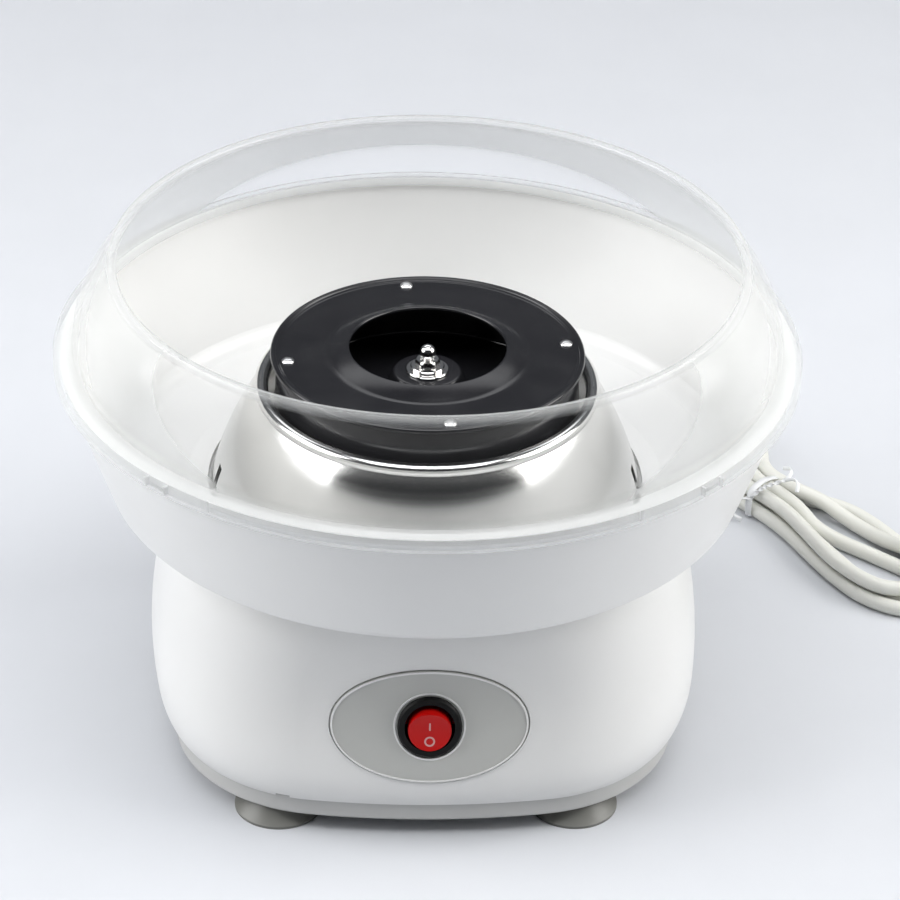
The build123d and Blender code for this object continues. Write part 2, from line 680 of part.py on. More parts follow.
tail_bottom = deck_height - 12.0
with BuildPart() as heater_ring:
    with BuildLine() as heater_line:
        ring_arc = CenterArc((0, 0, heater_height), heater_circle, tail_angles[1], 340.0)
    with BuildSketch(Plane(origin=ring_arc @ 0, z_dir=ring_arc % 0)):
        Circle(heater_radius)
    sweep(path=heater_line.line)
    for x, y in tail_spots:
        with BuildSketch(Plane.XY.offset(tail_bottom)):
            with Locations((x, y)):
                Circle(heater_radius)
        extrude(amount=heater_height - tail_bottom)
        with Locations((x, y, heater_height)):
            Sphere(heater_radius)
save(heater_ring, "heater_ring")

with BuildPart() as ceramic_holders:
    with BuildSketch(Plane.XY.offset(trough_floor_height + pan_sheet)):
        with PolarLocations(heater_circle, 4, start_angle=45.0):
            Rectangle(9.0, 7.0)
    extrude(amount=heater_height - trough_floor_height - pan_sheet)
    with BuildLine() as groove_line:
        groove_arc = CenterArc((0, 0, heater_height), heater_circle, 0.0, 360.0)
    with BuildSketch(Plane(origin=groove_arc @ 0, z_dir=groove_arc % 0)):
        Circle(heater_radius + touch)
    sweep(path=groove_line.line, mode=Mode.SUBTRACT)
save(ceramic_holders, "ceramic_holders")

with BuildPart() as ceramic_bushes:
    with BuildSketch(Plane.XY.offset(pan_floor - pan_sheet - 2.0)):
        with Locations(*tail_spots):
            Circle(heater_radius + 1.4)
    extrude(amount=pan_sheet + 2.0)
    with BuildSketch(Plane.XY.offset(pan_floor)):
        with Locations(*tail_spots):
            Circle(heater_radius + 3.0)
    extrude(amount=2.0)
    with BuildSketch(Plane.XY.offset(pan_floor - 5.0)):
        with Locations(*tail_spots):
            Circle(heater_radius + touch)
    extrude(amount=10.0, mode=Mode.SUBTRACT)
save(ceramic_bushes, "ceramic_bushes")

cutout_spot = (-49.0, 0.0)
blade_spots = [(cutout_spot[0] - 3.0, cutout_spot[1]), (cutout_spot[0] + 3.0, cutout_spot[1])]
with BuildPart() as thermal_cutout:
    with BuildSketch(Plane.XY.offset(pan_floor - pan_sheet)):
        with Locations(cutout_spot):
            Circle(8.0)
    extrude(amount=-5.0)
    with BuildSketch(Plane.XY.offset(pan_floor - pan_sheet - 5.0)):
        with Locations(*blade_spots):
            Rectangle(0.8, 3.2)
    extrude(amount=-5.0)
save(thermal_cutout, "thermal_cutout")

# ---------------------------------------------------------------- spinning head
plate_under = plate_level - plate_sheet
rivet_spots = [(rivet_circle * math.cos(math.radians(rivet_turn + 90 * n)),
                rivet_circle * math.sin(math.radians(rivet_turn + 90 * n))) for n in range(4)]
with BuildPart() as head_top_plate:
    with BuildSketch(Plane.XZ):
        with BuildLine():
            Polyline((lip_radius, plate_level + lip_rise), (lip_radius + 1.0, plate_level + lip_rise),
                     (cone_foot_radius - 1.6, plate_level + 0.5))
            ThreePointArc((cone_foot_radius - 1.6, plate_level + 0.5),
                          (cone_foot_radius - 0.8, plate_level + 0.14), (cone_foot_radius, plate_level))
            Polyline((cone_foot_radius, plate_level), (plate_radius - 1.2, plate_level),
                     (plate_radius - 1.2, plate_under), (cone_foot_radius - 0.4, plate_under),
                     (lip_radius, plate_level + lip_rise - plate_sheet), (lip_radius, plate_level + lip_rise))
        make_face()
        with Locations((plate_radius - 1.2, plate_level)):
            Circle(1.2)
    revolve(axis=Axis.Z)
    with BuildSketch(Plane.XY.offset(plate_under - 1.0)):
        with Locations(*rivet_spots):
            Circle(rivet_radius + touch)
    extrude(amount=plate_sheet + 2.0, mode=Mode.SUBTRACT)
save(head_top_plate, "head_top_plate")

pot_rim_height = plate_under - pot_slit
pot_floor_top = pot_floor_height + 2.5
plateau_under = pot_plateau_height - 1.5
with BuildPart() as head_pot:
    with BuildSketch(Plane.XZ):
        with BuildLine():
            Polyline((shaft_radius + touch, plateau_under), (10.0, plateau_under), (15.5, pot_floor_height),
                     (pot_bottom_radius - 2.0, pot_floor_height))
            ThreePointArc((pot_bottom_radius - 2.0, pot_floor_height),
                          (pot_bottom_radius - 0.6, pot_floor_height + 0.6),
                          (pot_bottom_radius, pot_floor_height + 2.0))
            Polyline((pot_bottom_radius, pot_floor_height + 2.0), (pot_top_radius, pot_rim_height),
                     (pot_top_radius - pot_wall, pot_rim_height),
                     (pot_bottom_radius - pot_wall - 0.6, pot_floor_top + 3.0),
                     (pot_bottom_radius - pot_wall - 4.0, pot_floor_top), (19.0, pot_floor_top),
                     (12.0, pot_plateau_height), (shaft_radius + touch, pot_plateau_height),
                     (shaft_radius + touch, plateau_under))
        make_face()
    revolve(axis=Axis.Z)
    # bosses the plate is riveted to
    with BuildSketch(Plane.XY.offset(pot_floor_top - 1.0)):
        with Locations(*rivet_spots):
            Circle(rivet_radius + 1.5)
    extrude(amount=plate_under - pot_floor_top + 1.0)
    with BuildSketch(Plane.XY.offset(plate_under)):
        with Locations(*rivet_spots):
            Circle(rivet_radius + touch)
    extrude(amount=-7.0, mode=Mode.SUBTRACT)
save(head_pot, "head_pot")

with BuildPart() as head_rivets:
    with BuildSketch(Plane.XY.offset(plate_level)):
        with Locations(*rivet_spots):
            Circle(2.3)
    extrude(amount=1.2)
    fillet(head_rivets.edges().group_by(Axis.Z)[-1], 1.0)
    with BuildSketch(Plane.XY.offset(plate_level)):
        with Locations(*rivet_spots):
            Circle(rivet_radius)
    extrude(amount=-6.0)
save(head_rivets, "head_rivets")

sleeve_bottom = plateau_under - 17.0
hub_radius = shaft_radius + 2.5
with BuildPart() as drive_hub:
    with BuildSketch(Plane.XZ):
        with BuildLine():
            Polyline((shaft_radius + touch, sleeve_bottom), (hub_radius, sleeve_bottom),
                     (hub_radius, plateau_under - 3.0), (hub_radius + 3.0, plateau_under - 3.0),
                     (hub_radius + 3.0, plateau_under), (shaft_radius + touch, plateau_under), close=True)
        make_face()
    revolve(axis=Axis.Z)
save(drive_hub, "drive_hub")

washer_sheet = 1.4
spring_height = 2.0
nut_radius = shaft_radius + 2.1
nut_bottom = pot_plateau_height + washer_sheet + spring_height
nut_top = nut_bottom + 4.0
neck_radius = shaft_radius - 0.7
with BuildPart() as drive_shaft:
    with BuildSketch(Plane.XZ):
        with BuildLine():
            Polyline((0, motor_bottom + 2.2), (shaft_radius - 0.5, motor_bottom + 2.2),
                     (shaft_radius, motor_bottom + 2.7), (shaft_radius, nut_top - 0.3),
                     (neck_radius, nut_top + 0.2), (neck_radius, ball_height), (0, ball_height), close=True)
        make_face()
    revolve(axis=Axis.Z)
    with Locations((0, 0, ball_height)):
        Sphere(ball_radius)
save(drive_shaft, "drive_shaft")

with BuildPart() as flat_washer:
    with BuildSketch(Plane.XY.offset(pot_plateau_height)):
        Circle(shaft_radius + 5.3)
        Circle(shaft_radius + touch, mode=Mode.SUBTRACT)
    extrude(amount=washer_sheet)
    chamfer(flat_washer.edges().group_by(Axis.Z)[-1].sort_by(SortBy.RADIUS)[-1], 0.3)
save(flat_washer, "flat_washer")

with BuildPart() as spring_washer:
    with BuildSketch(Plane.XY.offset(pot_plateau_height + washer_sheet)):
        Circle(shaft_radius + 3.7)
        Circle(shaft_radius + touch, mode=Mode.SUBTRACT)
        with PolarLocations(shaft_radius + 2.0, 1, start_angle=25.0):
            Rectangle(6.0, 0.8, mode=Mode.SUBTRACT)
    extrude(amount=spring_height)
save(spring_washer, "spring_washer")

with BuildPart() as shaft_nut:
    with BuildSketch(Plane.XY.offset(nut_bottom)):
        RegularPolygon(radius=nut_radius, side_count=6)
    extrude(amount=nut_top - nut_bottom)
    # both ends of the hexagon turned to a cone
    with BuildSketch(Plane.XZ, mode=Mode.PRIVATE) as turned:
        with BuildLine():
            Polyline((0, nut_bottom), (nut_radius - 0.4, nut_bottom), (nut_radius + 0.1, nut_bottom + 0.4),
                     (nut_radius + 0.1, nut_top - 0.4), (nut_radius - 0.4, nut_top), (0, nut_top), close=True)
        make_face()
    revolve(turned.sketch, axis=Axis.Z, mode=Mode.INTERSECT)
    with BuildSketch(Plane.XY.offset(nut_bottom)):
        Circle(shaft_radius + touch)
    extrude(amount=nut_top - nut_bottom, mode=Mode.SUBTRACT)
save(shaft_nut, "shaft_nut")

# ---------------------------------------------------------------- motor
can_inner = motor_radius - motor_wall
can_floor = motor_bottom + motor_wall
lower_bearing_top = can_floor + bearing_length
commutator_bottom = lower_bearing_top + 1.0
commutator_top = commutator_bottom + 4.6
core_bottom = commutator_top + 3.6
upper_bearing_bottom = cap_top - bearing_length
winding_top = upper_bearing_bottom - 0.8
core_top = winding_top - 2.5
brush_x = 9.5
with BuildPart() as motor_can:
    with BuildSketch(Plane.XZ):
        with BuildLine():
            Polyline((0, motor_bottom), (motor_radius - 1.2, motor_bottom), (motor_radius, motor_bottom + 1.2),
                     (motor_radius, motor_top), (can_inner, motor_top), (can_inner, can_floor),
                     (bearing_radius + 2.0, can_floor), (bearing_radius + 2.0, lower_bearing_top),
                     (bearing_radius, lower_bearing_top), (bearing_radius, can_floor), (0, can_floor), close=True)
        make_face()
    revolve(axis=Axis.Z)
    with BuildSketch(Plane.XY.offset(motor_bottom)):
        with Locations((-brush_x, 0), (brush_x, 0)):
            Rectangle(1.2, 4.0)
    extrude(amount=motor_wall, mode=Mode.SUBTRACT)
save(motor_can, "motor_can")

motor_screw_spots = [(12.0, 0), (-12.0, 0)]
with BuildPart() as motor_cap:
    with BuildSketch(Plane.XZ):
        with BuildLine():
            Polyline((bearing_radius, cap_top), (motor_radius, cap_top), (motor_radius, motor_top),
                     (can_inner - touch, motor_top), (can_inner - touch, motor_top - 1.8),
                     (can_inner - 2.0, motor_top - 1.8), (can_inner - 2.0, motor_top),
                     (bearing_radius + 2.0, motor_top), (bearing_radius + 2.0, upper_bearing_bottom),
                     (bearing_radius, upper_bearing_bottom), close=True)
        make_face()
    revolve(axis=Axis.Z)
    with BuildSketch(Plane.XY.offset(motor_top)):
        with Locations(*motor_screw_spots):
            Circle(cover_screw_radius + touch)
    extrude(amount=2.0, mode=Mode.SUBTRACT)
save(motor_cap, "motor_cap")

with BuildPart() as motor_bearings:
    for bottom in (can_floor, upper_bearing_bottom):
        with BuildSketch(Plane.XY.offset(bottom)):
            Circle(bearing_radius - touch)
            Circle(shaft_radius + touch, mode=Mode.SUBTRACT)
        extrude(amount=bearing_length)
save(motor_bearings, "motor_bearings")

with BuildPart() as motor_magnets:
    with BuildSketch(Plane.XY.offset(core_bottom - 2.0)):
        Circle(can_inner - touch)
        Circle(15.0, mode=Mode.SUBTRACT)
        Rectangle(13.0, 60.0, mode=Mode.SUBTRACT)
    extrude(amount=core_top - core_bottom + 3.0)
save(motor_magnets, "motor_magnets")

with BuildPart() as motor_core:
    with BuildSketch(Plane.XY.offset(core_bottom)):
        Circle(14.0)
        with PolarLocations(10.0, 7):
            Rectangle(6.4, 3.4, mode=Mode.SUBTRACT)
        with PolarLocations(13.6, 7):
            Rectangle(2.0, 1.6, mode=Mode.SUBTRACT)
        Circle(shaft_radius + touch, mode=Mode.SUBTRACT)
    extrude(amount=core_top - core_bottom)
save(motor_core, "motor_core")

with BuildPart() as motor_windings:
    for bottom, top in ((commutator_top + 1.2, core_bottom), (core_top, winding_top)):
        with BuildSketch(Plane.XY.offset(bottom)):
            Circle(12.6)
            Circle(7.0, mode=Mode.SUBTRACT)
        extrude(amount=top - bottom)
    with BuildSketch(Plane.XY.offset(core_bottom)):
        with PolarLocations(10.0, 7):
            Rectangle(5.0, 3.0)
    extrude(amount=core_top - core_bottom)
save(motor_windings, "motor_windings")

with BuildPart() as commutator:
    with BuildSketch(Plane.XY.offset(commutator_bottom)):
        Circle(5.0)
        with PolarLocations(5.0, 7):
            Rectangle(1.6, 0.5, mode=Mode.SUBTRACT)
        Circle(shaft_radius + touch, mode=Mode.SUBTRACT)
    extrude(amount=commutator_top - commutator_bottom)
save(commutator, "commutator")

with BuildPart() as motor_brushes:
    with BuildSketch(Plane.XY.offset(commutator_bottom + 0.8)):
        Rectangle(2 * brush_x - 1.0, 4.0)
        Circle(5.1, mode=Mode.SUBTRACT)
    extrude(amount=commutator_top - commutator_bottom - 1.6)
save(motor_brushes, "motor_brushes")

tab_bottom = motor_bottom - 6.0
with BuildPart() as brush_holders:
    for side in (-1, 1):
        with BuildSketch(Plane.XY.offset(tab_bottom)):
            with Locations((side * brush_x, 0)):
                Rectangle(0.8, 3.6)
        extrude(amount=commutator_top - 0.8 - tab_bottom)
        with BuildSketch(Plane.XY.offset(can_floor)):
            with Locations((side * (brush_x + 2.4), 0)):
                Rectangle(4.0, 6.0)
        extrude(amount=commutator_top - 0.8 - can_floor)
save(brush_holders, "brush_holders")

hole_radius = 4.0
with BuildPart() as motor_bracket:
    with BuildSketch(Plane.XY.offset(cap_top)):
        Circle(26.0)
        arm = mount_offset * math.sqrt(2)
        for turn in (45, -45):
            with Locations(Location((0, 0, 0), turn)):
                SlotCenterToCenter(2 * arm, 16.0)
        Circle(8.0, mode=Mode.SUBTRACT)
        with Locations(*motor_screw_spots):
            Circle(cover_screw_radius + touch, mode=Mode.SUBTRACT)
        with Locations(*mount_spots):
            Circle(hole_radius + touch, mode=Mode.SUBTRACT)
    extrude(amount=bracket_sheet)
save(motor_bracket, "motor_bracket")

grommet_bottom = cap_top - 1.6
with BuildPart() as bracket_grommets:
    with BuildSketch(Plane.XY.offset(grommet_bottom)):
        with Locations(*mount_spots):
            Circle(6.5)
    extrude(amount=cap_top - grommet_bottom)
    with BuildSketch(Plane.XY.offset(cap_top)):
        with Locations(*mount_spots):
            Circle(hole_radius)
    extrude(amount=bracket_sheet)
    with BuildSketch(Plane.XY.offset(bracket_top)):
        with Locations(*mount_spots):
            Circle(6.5)
    extrude(amount=mount_boss_bottom - bracket_top)
    with BuildSketch(Plane.XY.offset(grommet_bottom)):
        with Locations(*mount_spots):
            Circle(mount_screw_radius + touch)
    extrude(amount=mount_boss_bottom - grommet_bottom, mode=Mode.SUBTRACT)
save(bracket_grommets, "bracket_grommets")

mount_screw = screw(4.6, 2.4, mount_screw_radius, mount_boss_bottom - grommet_bottom + 6.0)
with BuildPart() as bracket_screws:
    for x, y in mount_spots:
        add(mount_screw.moved(Location((x, y, grommet_bottom), (180, 0, 0))))
save(bracket_screws, "bracket_screws")

motor_screw = screw(2.8, 1.6, cover_screw_radius, bracket_sheet + 3.0)
with BuildPart() as motor_screws:
    for x, y in motor_screw_spots:
        add(motor_screw.moved(Location((x, y, bracket_top))))
save(motor_screws, "motor_screws")

fan_bottom = pan_floor - pan_sheet - 0.8 - fan_height
with BuildPart() as cooling_fan:
    with BuildSketch(Plane.XY.offset(fan_bottom)):
        Circle(6.5)
        Circle(shaft_radius + touch, mode=Mode.SUBTRACT)
    extrude(amount=fan_height)
    blade_pitch = 58.0
    blade_sheet = 1.2
    blade_tilt = math.radians(blade_pitch)
    blade_rise = (fan_height - blade_sheet * math.sin(blade_tilt)) / math.cos(blade_tilt)
    for number in range(7):
        with Locations(Location((0, 0, fan_bottom + fan_height / 2), (0, 0, number * 360 / 7))):
            with Locations(Location(((fan_radius + 5.5) / 2, 0, 0), (blade_pitch, 0, 0))):
                Box(fan_radius - 5.5, blade_sheet, blade_rise - 0.1)
save(cooling_fan, "cooling_fan")

# ---------------------------------------------------------------- electrics
board_sheet = 1.6
with BuildPart() as rectifier_board:
    with BuildSketch(Plane.XY.offset(board_level)):
        with Locations((board_x, board_y)):
            Rectangle(44.0, 30.0)
        with Locations(*board_posts):
            Circle(board_screw_radius + touch, mode=Mode.SUBTRACT)
    extrude(amount=board_sheet)
save(rectifier_board, "rectifier_board")

board_top = board_level + board_sheet
with BuildPart() as rectifier_components:
    # smoothing capacitor, four diodes and a plug-in connector
    with BuildSketch(Plane.XY.offset(board_top)):
        with Locations((board_x + 8.0, board_y + 7.0)):
            Circle(5.0)
    extrude(amount=9.0)
    fillet(rectifier_components.edges().group_by(Axis.Z)[-1], 0.6)
    for number in range(4):
        with BuildSketch(Plane(origin=(board_x - 10.0 + 5.0 * number, board_y - 12.0, board_top + 1.4),
                               x_dir=(1, 0, 0), z_dir=(0, 1, 0))):
            Circle(1.4)
        extrude(amount=6.0)
    with BuildSketch(Plane.XY.offset(board_top)):
        with Locations((board_x - 10.0, board_y + 10.5)):
            Rectangle(10.0, 6.0)
    extrude(amount=7.0)
save(rectifier_components, "rectifier_components")

board_screw = screw(2.3, 1.4, board_screw_radius, 6.5)
with BuildPart() as board_screws:
    for x, y in board_posts:
        add(board_screw.moved(Location((x, y, board_top))))
save(board_screws, "board_screws")

block_x = 38.0
block_y = 46.0
with BuildPart() as terminal_block:
    with BuildSketch(Plane.XY.offset(plate_floor)):
        with Locations((block_x, block_y)):
            Rectangle(32.0, 16.0)
    extrude(amount=13.0)
    chamfer(terminal_block.edges().filter_by(Axis.X).group_by(Axis.Z)[-1], 2.5)
    for number in range(3):
        x = block_x - 10.0 + 10.0 * number
        with BuildSketch(Plane(origin=(x, block_y - 8.0, plate_floor + 5.0), x_dir=(1, 0, 0), z_dir=(0, 1, 0))):
            Circle(1.8)
        extrude(amount=16.0, mode=Mode.SUBTRACT)
        with Locations((x, block_y, plate_floor + 13.0)):
            Cylinder(2.2, 10.0, mode=Mode.SUBTRACT)
save(terminal_block, "terminal_block")

# ---------------------------------------------------------------- gland and clamp
gland_inner = -housing_wall - 6.0
with BuildPart() as cord_gland:
    with BuildSketch(gland_plane.offset(-0.5)):
        Circle(gland_radius + 2.0)
    extrude(amount=3.0)
    fillet(cord_gland.edges().filter_by(GeomType.CIRCLE).sort_by(Axis((0, 0, 0), rear_normal))[-1], 1.0)
    with BuildSketch(gland_plane.offset(gland_inner)):
        Circle(gland_radius)
    extrude(amount=-gland_inner)
    with BuildSketch(gland_plane.offset(2.0)):
        Circle(gland_radius - 0.4)
    extrude(amount=sleeve_length - 2.0, taper=4.0)
    for number in range(4):
        with BuildSketch(gland_plane.offset(5.0 + 3.6 * number)):
            Circle(gland_radius)
            Circle(gland_radius - 1.1 - 0.27 * number, mode=Mode.SUBTRACT)
        extrude(amount=1.4, mode=Mode.SUBTRACT)
    with BuildSketch(gland_plane.offset(gland_inner)):
        Circle(cord_radius + touch)
    extrude(amount=-gland_inner + sleeve_length, mode=Mode.SUBTRACT)
save(cord_gland, "cord_gland")


def cable(radius, *points, bend=None):
    """Round cable through corner points, each corner an arc set by its shorter run."""
    corners = [Vector(*point) for point in points]
    radii = []
    for before, corner, after in zip(corners, corners[1:], corners[2:]):
        half_turn = math.radians((corner - before).get_angle(after - corner)) / 2
        shorter = min((corner - before).length, (after - corner).length)
        radii.append(0.45 * shorter / math.tan(half_turn) if bend is None else bend)
    with BuildPart() as tube:
        with BuildLine() as route:
            if radii:
                FilletPolyline(*corners, radius=radii)
            else:
                Line(*corners)
        with BuildSketch(Plane(origin=corners[0], z_dir=corners[1] - corners[0])):
            Circle(radius)
        sweep(path=route.line)
    return tube.part, radii


gland_point = Vector(0, front_at(gland_height), gland_height)
gland_way = Vector(*rear_normal)
block_left = block_x - 16.0
tail_start = gland_point + gland_way * sleeve_length
tail_solid, tail_radii = cable(cord_radius, tail_start, gland_point - gland_way * 34.0,
                               (block_left - 10.0, block_y, plate_floor + 5.0),
                               (block_left - 0.1, block_y, plate_floor + 5.0), bend=6.0)
with BuildPart() as cord_tail:
    add(tail_solid)
save(cord_tail, "cord_tail")

with BuildPart() as cord_clamp:
    with BuildSketch(Plane.XZ.offset(-clamp_y - 4.0)):
        with BuildLine():
            Polyline((-14.0, clamp_level), (-6.0, clamp_level), (-4.4, clamp_level + cord_radius + 1.2),
                     (4.4, clamp_level + cord_radius + 1.2), (6.0, clamp_level), (14.0, clamp_level),
                     (14.0, clamp_level + 2.0), (7.0, clamp_level + 2.0),
                     (5.2, clamp_level + cord_radius + 3.0), (-5.2, clamp_level + cord_radius + 3.0),
                     (-7.0, clamp_level + 2.0), (-14.0, clamp_level + 2.0), close=True)
        make_face()
    extrude(amount=8.0)
    with Locations(*[(x, y, clamp_level) for x, y in clamp_posts]):
        Cylinder(cover_screw_radius + touch, 8.0, mode=Mode.SUBTRACT)
save(cord_clamp, "cord_clamp")

clamp_screw = screw(2.9, 1.8, cover_screw_radius, 9.0)
with BuildPart() as clamp_screws:
    for x, y in clamp_posts:
        add(clamp_screw.moved(Location((x, y, clamp_level + 2.0))))
save(clamp_screws, "clamp_screws")

# leads between the block, the switch, the board, the motor and the heater
switch_back = seat_plane.offset(-barrel_depth - 8.0)
lower_blade = Vector(0, switch_back.origin.Y - 6.0 * math.sin(math.radians(front_lean)),
                     switch_back.origin.Z - 6.0 * math.cos(math.radians(front_lean)))
upper_blade = Vector(0, switch_back.origin.Y + 6.0 * math.sin(math.radians(front_lean)),
                     switch_back.origin.Z + 6.0 * math.cos(math.radians(front_lean)))
block_front = block_y - 8.0
lead_height = plate_floor + 5.0
tab_end = tab_bottom - 0.1
tail_end = tail_bottom - 0.1
blade_end = pan_floor - pan_sheet - 10.1
board_edge = board_x + 22.1
connector_top = board_top + 7.1
lead_routes = (
    ((block_x - 10.0, block_front - 0.1, lead_height), (block_x - 10.0, 20.0, lead_height),
     (36.0, -30.0, lead_height), (0.0, -50.0, lower_blade.Z), lower_blade + Vector(0, 0.1, 0)),
    ((block_x, block_front - 0.1, lead_height), (block_x, 10.0, lead_height),
     (43.0, -36.0, 34.0), (0.0, -46.0, upper_blade.Z), upper_blade + Vector(0, 0.1, 0)),
    ((block_x + 10.0, block_front - 0.1, lead_height), (block_x + 10.0, 24.0, lead_height),
     (58.0, 20.0, 50.0), (30.0, 34.0, 60.0), (tail_spots[0][0], tail_spots[0][1], 66.0),
     (tail_spots[0][0], tail_spots[0][1], tail_end)),
    ((tail_spots[1][0], tail_spots[1][1], tail_end), (tail_spots[1][0], tail_spots[1][1], 64.0),
     (-36.0, 18.0, 60.0), (blade_spots[1][0], blade_spots[1][1], 64.0),
     (blade_spots[1][0], blade_spots[1][1], blade_end)),
    ((blade_spots[0][0], blade_spots[0][1], blade_end), (blade_spots[0][0], blade_spots[0][1], 60.0),
     (board_x - 12.0, board_y + 10.5, 40.0), (board_x - 12.0, board_y + 10.5, connector_top)),
    ((board_edge, board_y - 6.0, board_level + 0.8), (board_edge + 6.5, board_y - 6.0, board_level + 0.8),
     (-brush_x, 0.0, 17.0), (-brush_x, 0.0, tab_end)),
    ((board_edge, board_y + 2.0, board_level + 0.8), (board_edge + 8.0, board_y + 2.0, board_level + 0.8),
     (brush_x, 8.0, 14.5), (brush_x, 0.0, 17.0), (brush_x, 0.0, tab_end)),
)
with BuildPart() as internal_leads:
    for lead_route in lead_routes:
        lead, lead_radii = cable(1.1, *lead_route, bend=3.0)
        add(lead)
save(internal_leads, "internal_leads")

# ---------------------------------------------------------------- mains lead outside
cord_route = (tail_start, gland_point + gland_way * (sleeve_length + 36.0), (-3.0, 187.0, cord_radius),
              (0.0, 223.0, cord_radius), (27.7, 246.0, cord_radius), (63.9, 239.8, cord_radius))


def hank_point(angle, along, across, height=0.0):
    """Point of the hank from its tie, along one of its halves and across it to the left."""
    turn = math.radians(angle)
    return Vector(hank_x + along * math.cos(turn) - across * math.sin(turn),
                  hank_y + along * math.sin(turn) + across * math.cos(turn), height)


rear_angle = hank_angle + 162.0
rear_reach = 100.0
entry_offset = 14.0
cord_entry = hank_point(rear_angle, rear_reach + touch, entry_offset, cord_radius)
lead_exit = hank_point(rear_angle, rear_reach + touch, -entry_offset, cord_radius)
cord_solid, cord_radii = cable(cord_radius, *cord_route, cord_entry)
with BuildPart() as power_cord:
    add(cord_solid)
save(power_cord, "power_cord")

waist_half = hank_waist / 2
open_lobe = ((-4.0, -waist_half), (18.0, -waist_half * 1.5), (40.0, -28.0), (62.0, -35.5), (82.0, -35.5),
             (99.0, -28.0), (107.5, -11.0), (98.0, 5.0), (76.0, 9.5), (55.0, 17.5), (30.0, 23.5),
             (12.0, 20.5), (-4.0, waist_half))
rear_side = ((-4.0, waist_half), (24.0, waist_half * 1.7), (48.0, 28.0), (70.0, 31.0), (88.0, 27.5),
             (rear_reach, 20.0))
with BuildPart() as cord_hank:
    with BuildSketch():
        with BuildLine():
            near = [hank_point(hank_angle, along, across) for along, across in open_lobe]
            Spline(*near)
            Line(near[-1], near[0])
        make_face()
    extrude(amount=hank_thickness)
    with BuildSketch():
        with BuildLine():
            far_left = [hank_point(rear_angle, along, across) for along, across in rear_side]
            far_right = [hank_point(rear_angle, along, -across) for along, across in rear_side]
            Spline(*far_left)
            Line(far_left[-1], far_right[-1])
            Spline(*far_right)
            Line(far_left[0], far_right[0])
        make_face()
    extrude(amount=hank_thickness)
    tie_plane = Plane(origin=hank_point(hank_angle, -2.5, 0, hank_thickness / 2),
                      z_dir=(math.cos(math.radians(hank_angle)), math.sin(math.radians(hank_angle)), 0),
                      x_dir=(-math.sin(math.radians(hank_angle)), math.cos(math.radians(hank_angle)), 0))
    with BuildSketch(tie_plane):
        Rectangle(60.0, 60.0)
        RectangleRounded(hank_waist - 3.0, hank_thickness - 2.4, 4.0, mode=Mode.SUBTRACT)
    extrude(amount=5.0, mode=Mode.SUBTRACT)
save(cord_hank, "cord_hank")

with BuildPart() as twist_tie:
    with BuildSketch(tie_plane.offset(0.3)):
        RectangleRounded(hank_waist - 0.6, hank_thickness, 5.0)
        RectangleRounded(hank_waist - 3.0, hank_thickness - 2.4, 4.0, mode=Mode.SUBTRACT)
    extrude(amount=4.4)
    twist_start = hank_point(hank_angle, 0.0, -waist_half - 0.3, hank_thickness / 2 + 1.0)
    stub, stub_radii = cable(1.3, twist_start,
                             hank_point(hank_angle, 4.0, -waist_half - 5.0, hank_thickness + 4.0),
                             hank_point(hank_angle, 12.0, -waist_half - 6.0, hank_thickness + 9.0),
                             hank_point(hank_angle, 18.0, -waist_half - 12.0, hank_thickness + 8.0), bend=3.0)
    add(stub)
save(twist_tie, "twist_tie")

# ---------------------------------------------------------------- plug
lead_way = Vector(math.cos(math.radians(rear_angle)), math.sin(math.radians(rear_angle)), 0)
plug_axis_height = 6.8
lead_first = lead_exit + lead_way * 40.0
lead_second = lead_first + Vector(-36.2, 16.9, plug_axis_height - cord_radius)
lead_end = lead_second + Vector(-38.0, 3.0, 0)
plug_solid, plug_radii = cable(cord_radius, lead_exit, lead_first, lead_second, lead_end)
with BuildPart() as plug_lead:
    add(plug_solid)
save(plug_lead, "plug_lead")

plug_plane = Plane(origin=lead_end, z_dir=lead_end - lead_second, x_dir=(0, 1, 0))
with BuildPart() as plug_body:
    with BuildSketch(plug_plane):
        Circle(4.4)
    with BuildSketch(plug_plane.offset(13.0)):
        Circle(5.2)
    loft()
    with BuildSketch(plug_plane.offset(12.0)):
        RectangleRounded(13.0, 11.0, 4.0)
    with BuildSketch(plug_plane.offset(26.0)):
        RectangleRounded(29.0, 13.4, 5.0)
    with BuildSketch(plug_plane.offset(42.0)):
        RectangleRounded(35.0, 13.4, 5.0)
    loft()
    with BuildSketch(plug_plane.offset(42.0)):
        with Locations((-9.3, 0), (9.3, 0)):
            Circle(2.0 + touch)
    extrude(amount=-8.0, mode=Mode.SUBTRACT)
save(plug_body, "plug_body")

with BuildPart() as plug_pins:
    with BuildSketch(plug_plane.offset(34.0)):
        with Locations((-9.3, 0), (9.3, 0)):
            Circle(2.0)
    extrude(amount=8.0 + 19.0)
    chamfer(plug_pins.edges().sort_by(Axis(lead_end, lead_end - lead_second))[-2:], 0.7)
save(plug_pins, "plug_pins")

print("power cord bend radii", [round(radius, 1) for radius in cord_radii])
print("plug lead bend radii", [round(radius, 1) for radius in plug_radii])
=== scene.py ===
"""Cotton candy machine: finishes, detailed pieces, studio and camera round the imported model.

Sizes of the assemblies are in millimetres and degrees. Finishes, lights, camera and vectors are in metres.
"""

import json
import logging
import math
from dataclasses import dataclass, field
from enum import Enum
from typing import ClassVar

import bmesh
import bpy
from mathutils import Matrix, Vector
from mathutils.bvhtree import BVHTree

